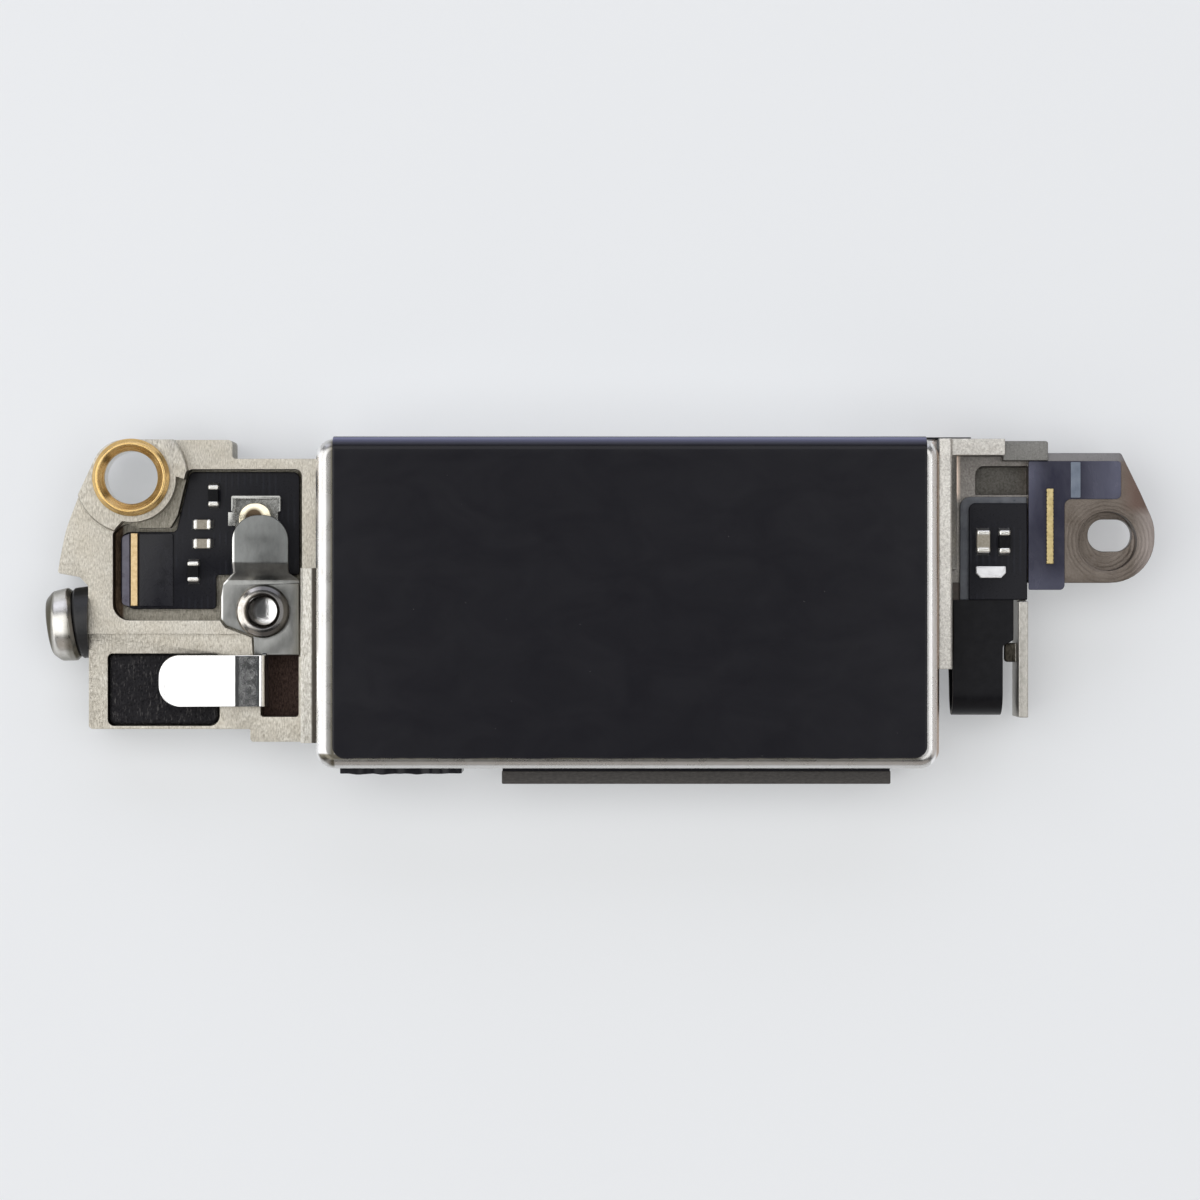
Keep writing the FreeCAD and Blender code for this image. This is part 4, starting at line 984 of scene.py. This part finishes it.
def nut():
    """Domed nut with a thread ridge wound inside its blind hole."""
    body = Build().turned(NUT_PROFILE, Matrix.Translation((*NUT_AT, 0)))
    last = THREAD_TURNS * THREAD_STEPS
    rings = []
    for k in range(int(last) + 1):
        theta = 2 * math.pi * k / THREAD_STEPS
        z = THREAD_Z0 + THREAD_PITCH * k / THREAD_STEPS
        grow = min(1.0, k / 20, (last - k) / 20)
        crest = HOLE_R - THREAD_DEPTH * max(grow, 0.02)
        section = [(THREAD_ROOT_R, z - 0.10), (crest, z - 0.02), (crest, z + 0.02), (THREAD_ROOT_R, z + 0.10)]
        rings.append([(NUT_AT[0] + r * math.cos(theta), NUT_AT[1] + r * math.sin(theta), h) for r, h in section])
    ridge = Build().loft(rings)
    body.piece("nut", "press_nut", "nut_steel", M_NUT)
    ridge.piece("nut_thread_ridge", None, "nut_steel", M_NUT)


FINGER_PATH = [(-10.80, 2.00), (-10.80, 2.22, 0.14), (-11.60, 2.22, 0.6), (-13.86, 2.60)]
FINGER_Y = (-3.07, -1.53)
FINGER_TIP_R = 0.62
FINGER_T = 0.12
CLIP_PATH = [(1.50, 1.80), (2.50, 2.09, 0.45), (2.96, 1.94)]
CLIP_X = (-11.54, -10.59)
CLIP_TIP_R = 0.44
CLIP_T = 0.07
CLIP_DISH = 0.05
LONGEST_RUN = 0.05


def finger():
    """Sprung finger: hidden foot, tight bend, level length, then a slope to the rounded tip."""
    path = refined_tail(rounded(FINGER_PATH, closed=False, step=6), LONGEST_RUN, FINGER_TIP_R)
    sides = round_ended(*FINGER_Y, FINGER_TIP_R)
    build = Build().strip(path, FINGER_T, sides, lambda x, z, y: (x, y, z), 0.03)
    build.piece("finger", "contact_finger", "mirror_steel", M_MIRROR, body="finger")


def clip():
    """Arched gold finger of the spring clip, slightly crowned across."""
    path = refined_tail(rounded(CLIP_PATH, closed=False, step=4), LONGEST_RUN, CLIP_TIP_R)
    middle, half = sum(CLIP_X) / 2, (CLIP_X[1] - CLIP_X[0]) / 2

    def crowned(y, z, x):
        return x, y, z - CLIP_DISH * ((x - middle) / half) ** 2

    build = Build().strip(path, CLIP_T, round_ended(*CLIP_X, CLIP_TIP_R), crowned, 0.02)
    build.piece("clip_finger", "spring_clip_finger", "gold_plate", M_BRIGHT_GOLD, body="clip_finger")


FOAM_X = (-15.44, -12.16)
FOAM_Y = (-3.62, -1.52)
FOAM_Z = (1.2, 1.75)
FOAM_CELLS = (132, 84)
FOAM_CORNERS = {(False, False): 0.2, (True, False): 0.3, (True, True): 0.15, (False, True): 0.15}
FOAM_RIM = 0.12


def foam_point(u, v):
    """A place on the pad from two numbers from 0 to 1, pulled in at the rounded corners."""
    right, far = u > 0.5, v > 0.5
    x = FOAM_X[0] + (FOAM_X[1] - FOAM_X[0]) * u
    y = FOAM_Y[0] + (FOAM_Y[1] - FOAM_Y[0]) * v
    r = FOAM_CORNERS[(right, far)]
    cx = FOAM_X[1] - r if right else FOAM_X[0] + r
    cy = FOAM_Y[1] - r if far else FOAM_Y[0] + r
    dx = (x - cx) * (1 if right else -1)
    dy = (y - cy) * (1 if far else -1)
    if dx > 0 and dy > 0:
        pull = max(dx, dy) / math.hypot(dx, dy)
        x, y = cx + (x - cx) * pull, cy + (y - cy) * pull
    return x, y


def foam():
    """Rough pad: a dense grid with a pitted top."""
    nx, ny = FOAM_CELLS
    cell_x, cell_y = (FOAM_X[1] - FOAM_X[0]) / nx, (FOAM_Y[1] - FOAM_Y[0]) / ny
    top = []
    for i in range(nx + 1):
        for j in range(ny + 1):
            x, y = foam_point(i / nx, j / ny)
            rim = min(min(i, nx - i) * cell_x, min(j, ny - j) * cell_y)
            fall = 0.10 * (1 - min(rim / FOAM_RIM, 1.0)) ** 2
            fine = 0.035 * abs(noise.noise(Vector((x * 9, y * 9, 0))))
            wide = 0.03 * abs(noise.noise(Vector((x * 4, y * 7, 3))))
            top.append((x, y, FOAM_Z[1] - fall - (fine + wide)))
    border = grid_border(nx + 1, ny + 1)
    size = len(border)
    base = len(top)
    faces = grid_cells(nx + 1, ny + 1)
    for k in range(size):
        after = (k + 1) % size
        faces.append((border[k], base + k, base + after, border[after]))
    faces.append(tuple(range(base, base + size)))
    build = Build().add(top + [(*top[i][:2], FOAM_Z[0]) for i in border], faces)
    obj = build.piece("foam", "foam_pad", "pad_foam", M_FOAM, sharp=80)


SCREW_AT = (-16.03, -0.545, 1.25)
SCREW_LEAN = Matrix.Rotation(math.radians(7.7), 4, "Z")
SCREW_PLACE = Matrix.Translation(SCREW_AT) @ SCREW_LEAN @ Matrix.Rotation(math.radians(90), 4, "Y")
SCREW_PROFILE = [
    (0.0, -1.00), (0.40, -1.00, 0.03), (0.50, -1.21, 0.04), (0.82, -1.25, 0.2), (1.05, -1.00, 0.2),
    (1.10, -0.55, 0.1), (1.00, -0.43, 0.05), (0.38, -0.43), (0.38, 0.42, 0.03), (0.30, 0.5), (0.0, 0.5),
]
SOCKET_R, SOCKET_FLOOR = 0.56, -0.92
COLLAR_PROFILE = [(0.46, -0.42, 0.02), (0.98, -0.42, 0.06), (1.06, -0.34, 0.06), (1.06, 0.2), (0.46, 0.2)]


def socket_shape(r, z, theta):
    """The socket's radius, waved into six lobes."""
    if z < SOCKET_FLOOR and r < SOCKET_R:
        return r * (0.93 + 0.07 * math.cos(6 * theta))
    return r


def side_screw():
    """Pan-head screw, askew in the bracket's edge."""
    build = Build().turned(SCREW_PROFILE, SCREW_PLACE, 120, socket_shape)
    build.piece("side_screw", "side_stud", "screw_steel", M_SCREW, body="side_screw")


def collar():
    """Black collar round the screw."""
    build = Build().turned(COLLAR_PROFILE, SCREW_PLACE)
    build.piece("collar", "side_collar", "collar_plastic", M_COLLAR, trim=cut_at_bracket)


def cut_at_bracket(shell):
    """Cuts the collar off flat where it meets the bracket's edge."""
    wall = Vector((SCREW_AT[0] * MM, 0, 0))
    geometry = shell.verts[:] + shell.edges[:] + shell.faces[:]
    bmesh.ops.bisect_plane(shell, geom=geometry, plane_co=wall, plane_no=(1, 0, 0), clear_outer=True)
    bmesh.ops.bridge_loops(shell, edges=[e for e in shell.edges if e.is_boundary])


# ---------------------------------------------------------------- chips
LEFT_Z = 1.55
RIGHT_Z = 1.98
# middle, size and foot of each chip
CAPACITORS = [
    (-12.66, 2.35, 0.65, 0.32, LEFT_Z), (-12.66, 1.78, 0.65, 0.32, LEFT_Z), (10.57, 1.84, 0.42, 0.80, RIGHT_Z),
]
RESISTORS = [
    (-12.33, 3.21, 0.34, 0.78, LEFT_Z), (-12.93, 0.95, 0.36, 0.74, LEFT_Z), (11.20, 1.83, 0.36, 0.82, RIGHT_Z),
]
CHIP_H = 0.3
SOLDER_STEPS = 6
BARE_CHIP_PLAN = [
    (10.50, 0.76, 0.02), (11.10, 0.76, 0.02), (11.235, 0.90, 0.03), (11.235, 1.10, 0.03), (10.365, 1.10, 0.03),
    (10.365, 0.90, 0.03),
]
BARE_CHIP_H = 0.25


def add_chip(bodies, ends, cx, cy, sx, sy, z):
    """One chip's body, its wrapped tin ends and the solder that climbs each end."""
    half, side = max(sx, sy) / 2, min(sx, sy) / 2
    cap = half * 0.60

    def turn(a, b):
        """A place from the chip's middle, with a along its length."""
        return (cx + a, cy + b) if sx > sy else (cx - b, cy + a)

    def plan(x0, x1, w, r):
        return [turn(a, b) for a, b in rounded(rect(x0, x1, -w, w, r), step=30)]

    bodies.slab(plan(-half + cap * 0.6, half - cap * 0.6, side - 0.02, 0.01), z, z + CHIP_H - 0.015, 0.015)
    for sign in (-1, 1):
        x0, x1 = sorted((sign * (half - cap), sign * (half - 0.06)))
        dome = min(side, (x1 - x0) / 2) * 0.8
        ends.slab(plan(x0, x1, side - 0.005, 0.05), z + 0.01, z + CHIP_H, dome, steps=6)
        rings = []
        for k in range(SOLDER_STEPS + 1):
            t = k / SOLDER_STEPS
            out = sign * (half - 0.065 + 0.065 * t ** 0.6)
            height = 0.015 + 0.23 * (1 - t) ** 1.8
            wide = side - 0.01 - 0.03 * (1 - t)
            a, b = turn(out, -wide), turn(out, wide)
            mid_a, mid_b = turn(out, -wide * 0.7), turn(out, wide * 0.7)
            shoulder, crown = z + height * 0.8, z + height
            rings.append([(*a, z), (*b, z), (*b, shoulder), (*mid_b, crown), (*mid_a, crown), (*a, shoulder)])
        ends.loft(rings)


def chips():
    """Chips of both boards, their ends as one piece, and the bright bare chip."""
    ends = Build()
    for group, name, node, material, slot in (
        (CAPACITORS, "capacitor_bodies", "chip_capacitors", M_CERAMIC, "chip_ceramic"),
        (RESISTORS, "resistor_bodies", "chip_resistors", M_CHIP, "chip_black"),
    ):
        bodies = Build()
        for chip in group:
            add_chip(bodies, ends, *chip)
        bodies.piece(name, node, slot, material)
    ends.piece("chip_ends", "chip_terminals", "tin", M_TIN)
    bare = Build().slab(BARE_CHIP_PLAN, RIGHT_Z, RIGHT_Z + BARE_CHIP_H, 0.04)
    bare.piece("bare_chip", "bright_chip", "tin", M_BRIGHT)


BAR_PITCH = 0.115
BAR_H = 0.12


def gold_bars():
    """Contact bars: a smooth one on the left, one with a row of shallow castellations on the right."""
    for name, node, x0, x1, y0, y1, z0, notch, material in (
        ("left_bar", "left_gold_bar", -14.81, -14.60, -0.08, 2.10, LEFT_Z, 0.0, M_GOLD),
        ("right_bar", "right_gold_bar", 12.45, 12.66, 1.17, 3.41, 2.05, 0.02, M_GOLD_RIGHT),
    ):
        count = round((y1 - y0) / BAR_PITCH)
        step = (y1 - y0) / count
        plan = []
        for x, sign, order in ((x1, 1, range(count)), (x0, -1, range(count - 1, -1, -1))):
            for k in order:
                ys = [y0 + step * k, y0 + step * (k + 0.2), y0 + step * (k + 0.8), y0 + step * (k + 1)]
                xs = [x - sign * notch, x, x, x - sign * notch]
                corners = list(zip(xs, ys))[::sign]
                plan += corners[:-1] if k != order[-1] else corners
        build = Build().slab(plan, z0, z0 + BAR_H, 0.025)
        build.piece(name, node, "gold_plate", material)


# ---------------------------------------------------------------- right bracket parts
RIBBON_Z = (0.47, 1.85)
RIBBON_TURN_Y = -2.60
RIBBON_X = (9.69, 11.18)
RIBBON_T = 0.10
WING, WING_END = 0.32, 1.28
TAB, TAB_LENGTH = 0.85, 0.81


def ribbon_sides(s, total):
    """The ribbon's two edges at s along it: a wing near the board and a tab that enters the case."""
    wing = WING * (0.5 - 0.5 * math.tanh((s - WING_END) / 0.05))
    if total - s < TAB_LENGTH:
        return RIBBON_X[0] - TAB, RIBBON_X[1] + wing
    return RIBBON_X[0] + max(0.02 * math.sin(s * 1.7), 0), RIBBON_X[1] + wing


def ribbon():
    """Folded ribbon with amber edges, and a dark amber sheet beside it as painted shade."""
    low, top = RIBBON_Z
    radius = (top - low) / 2
    far_y = RIBBON_TURN_Y - radius
    route = [(0.10, top), (far_y, top, radius), (far_y, low, radius), (-1.05, low)]
    path = divided(rounded(route, closed=False, step=5), 0.08)
    build = Build().strip(path, RIBBON_T, ribbon_sides, lambda y, z, x: (x, y, z), 0.02)
    # painted shade: a dark amber sheet under the ribbon's left edge darkens the gap beside the flange
    shade_sheet = Build().slab(rect(9.63, 9.98, -1.60, 0.62, 0.06), 1.66, 1.72, 0.01)
    shade_sheet.piece("ribbon_shade_sheet", None, "flex_black", M_AMBER)
    obj = build.piece("ribbon", "right_flex_ribbon", "flex_black", M_RIBBON)
    obj.data.materials.append(M_AMBER)
    for polygon in obj.data.polygons:
        if abs(polygon.normal.x) > 0.9:
            polygon.material_index = 1


FILM_Z = (2.0, 2.05)
STRIP_Z = (2.05, 2.08)
FILM_PLAN = [
    (11.93, 0.40, 0.05), (13.00, 0.40, 0.15), (13.00, 3.10, 0.2), (14.68, 3.10, 0.15), (14.68, 4.23, 0.1),
    (11.93, 4.23, 0.05),
]
STRIP_PLAN = rect(13.18, 13.47, 3.14, 4.20, 0.03)


def film_sheet():
    """Film over the ear's shoulder with rounded free corners, and the pale strip on it."""
    film = Build().slab(FILM_PLAN, *FILM_Z, 0.02)
    film.piece("shoulder_film", "right_cover_film", "blue_film", M_FILM)
    strip = Build().slab(STRIP_PLAN, *STRIP_Z, 0.01)
    strip.piece("shoulder_strip", "right_film_strip", "pale_film", M_STRIP)


case_cover()
label()
side_pad()
short_tape()
bush()
nut()
finger()
clip()
foam()
side_screw()
collar()
chips()
gold_bars()
ribbon()
film_sheet()

# material, edge radius and names of the CAD nodes that keep their shape
DRESSED = [
    (M_BASE, 0.04, "base_plate"),
    (M_LABEL, 0.015, "rear_wall_tape"),
    (M_IRON, 0.02, "lower_stator_plate", "upper_stator_plate"),
    (M_RIBBON, 0.015, "coil_flex", "upper_coil_lead"),
    (M_COPPER, 0.08, "lower_coils", "upper_coils"),
    (M_TUNGSTEN, 0.06, "moving_mass"),
    (M_MAGNET, 0.05, "magnets"),
    (M_SPRING, 0.02, "right_leaf_spring", "left_leaf_spring", "mass_weld_plates", "wall_weld_plates"),
    (M_RUBBER, 0.06, "end_bumpers"),
    (M_CHIP, 0.03, "hall_sensor"),
    (M_BLASTED, 0.06, "left_bracket"),
    (M_BOARD, 0.03, "left_flex_board"),
    (M_PALE_LEFT, 0.02, "left_stiffener"),
    (M_DARK_FILM, 0.02, "left_cover_film"),
    (M_CLIP, 0.02, "spring_clip_base"),
    (M_SHEET, 0.055, "ground_plate"),
    (M_RIGHT, 0.055, "right_bracket"),
    (M_PALE, 0.02, "right_stiffener"),
    (M_BOARD, 0.04, "right_flex_board"),
    (M_LEG, 0.03, "right_leg"),
]
for material, bevel, *nodes in DRESSED:
    for node in nodes:
        dress_node(node, material, bevel)


def bending_leaf(node, name):
    """The leaf spring as a piece of its own, copied from the CAD node's finished mesh."""
    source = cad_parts[node]
    shape = source.evaluated_get(bpy.context.evaluated_depsgraph_get())
    mesh = bpy.data.meshes.new_from_object(shape)
    mesh.transform(source.matrix_world)
    obj = bpy.data.objects.new(name, mesh)
    scene.collection.objects.link(obj)
    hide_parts(node)
    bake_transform(obj)


bending_leaf("right_leaf_spring", "right_leaf")
bending_leaf("left_leaf_spring", "left_leaf")


# ---------------------------------------------------------------- floor, light, camera, all in metres
FLOOR_HALF = 1.5
FLOOR_DROP = 0.00002  # keeps the floor off the part's underside
CEILING = 0.45
GAP = 0.07
WALL_AT = 0.48
WALL_Z = 0.24
WARM = (1.0, 0.92, 0.86)
COOL = (0.86, 0.88, 1.0)
WHITE = (1, 1, 1)
CAMERA_AT = (-0.00081, 0.00010, 0.1132)


def stage_floor():
    """A plain pale floor."""
    mesh = bpy.data.meshes.new("floor")
    corners = rect(-FLOOR_HALF, FLOOR_HALF, -FLOOR_HALF, FLOOR_HALF)
    mesh.from_pydata(corners, [], [(0, 1, 2, 3)])
    obj = bpy.data.objects.new("floor", mesh)
    obj.location.z = -FLOOR_DROP
    scene.collection.objects.link(obj)
    mesh.materials.append(floor_paint())


def panel(name, location, size, radiance, turn=(0, 0, 0), tint=WHITE):
    """A soft light panel; without a turn it faces down."""
    data = bpy.data.lights.new(name, "AREA")
    data.shape = "RECTANGLE"
    data.size, data.size_y = size
    data.energy = radiance * math.pi * size[0] * size[1]
    data.color = tint
    obj = bpy.data.objects.new(name, data)
    scene.collection.objects.link(obj)
    obj.location = location
    obj.rotation_euler = [math.radians(a) for a in turn]


def ceiling(name, x0, x1, y0, y1, radiance):
    """A level panel overhead."""
    panel(name, ((x0 + x1) / 2, (y0 + y1) / 2, CEILING), (x1 - x0, y1 - y0), radiance)


def light():
    """Panels overhead at the left, right and back, and four low ones; straight above it stays dark."""
    world = bpy.data.worlds.new("studio")
    scene.world = world
    world.use_nodes = True
    background = world.node_tree.nodes["Background"]
    background.inputs["Color"].default_value = (0.95, 0.97, 1.0, 1)
    background.inputs["Strength"].default_value = 0.06
    ceiling("left", -0.45, -GAP, -0.30, 0.30, 1.75)
    ceiling("right", GAP, 0.40, -0.25, 0.25, 1.45)
    ceiling("back", -GAP, GAP, GAP, 0.30, 1.3)
    panel("low_left", (-WALL_AT, 0, WALL_Z), (0.42, 0.6), 1.7, (0, -90, 0))
    panel("low_right", (WALL_AT, 0, WALL_Z), (0.42, 0.6), 0.40, (0, 90, 0), WARM)
    panel("low_back", (0, WALL_AT, WALL_Z), (0.8, 0.42), 1.3, (-90, 0, 0), COOL)
    panel("low_front", (0, -WALL_AT, WALL_Z), (0.8, 0.42), 0.40, (90, 0, 0), WARM)


def camera():
    """Straight down from above the lid, framed as in the photograph."""
    data = bpy.data.cameras.new("camera")
    data.sensor_width = 36.0
    data.lens = 112.2
    data.clip_start = 0.005
    obj = bpy.data.objects.new("camera", data)
    obj.location = CAMERA_AT
    scene.collection.objects.link(obj)
    scene.camera = obj


stage_floor()
light()
camera()
scene.view_settings.view_transform = "Standard"
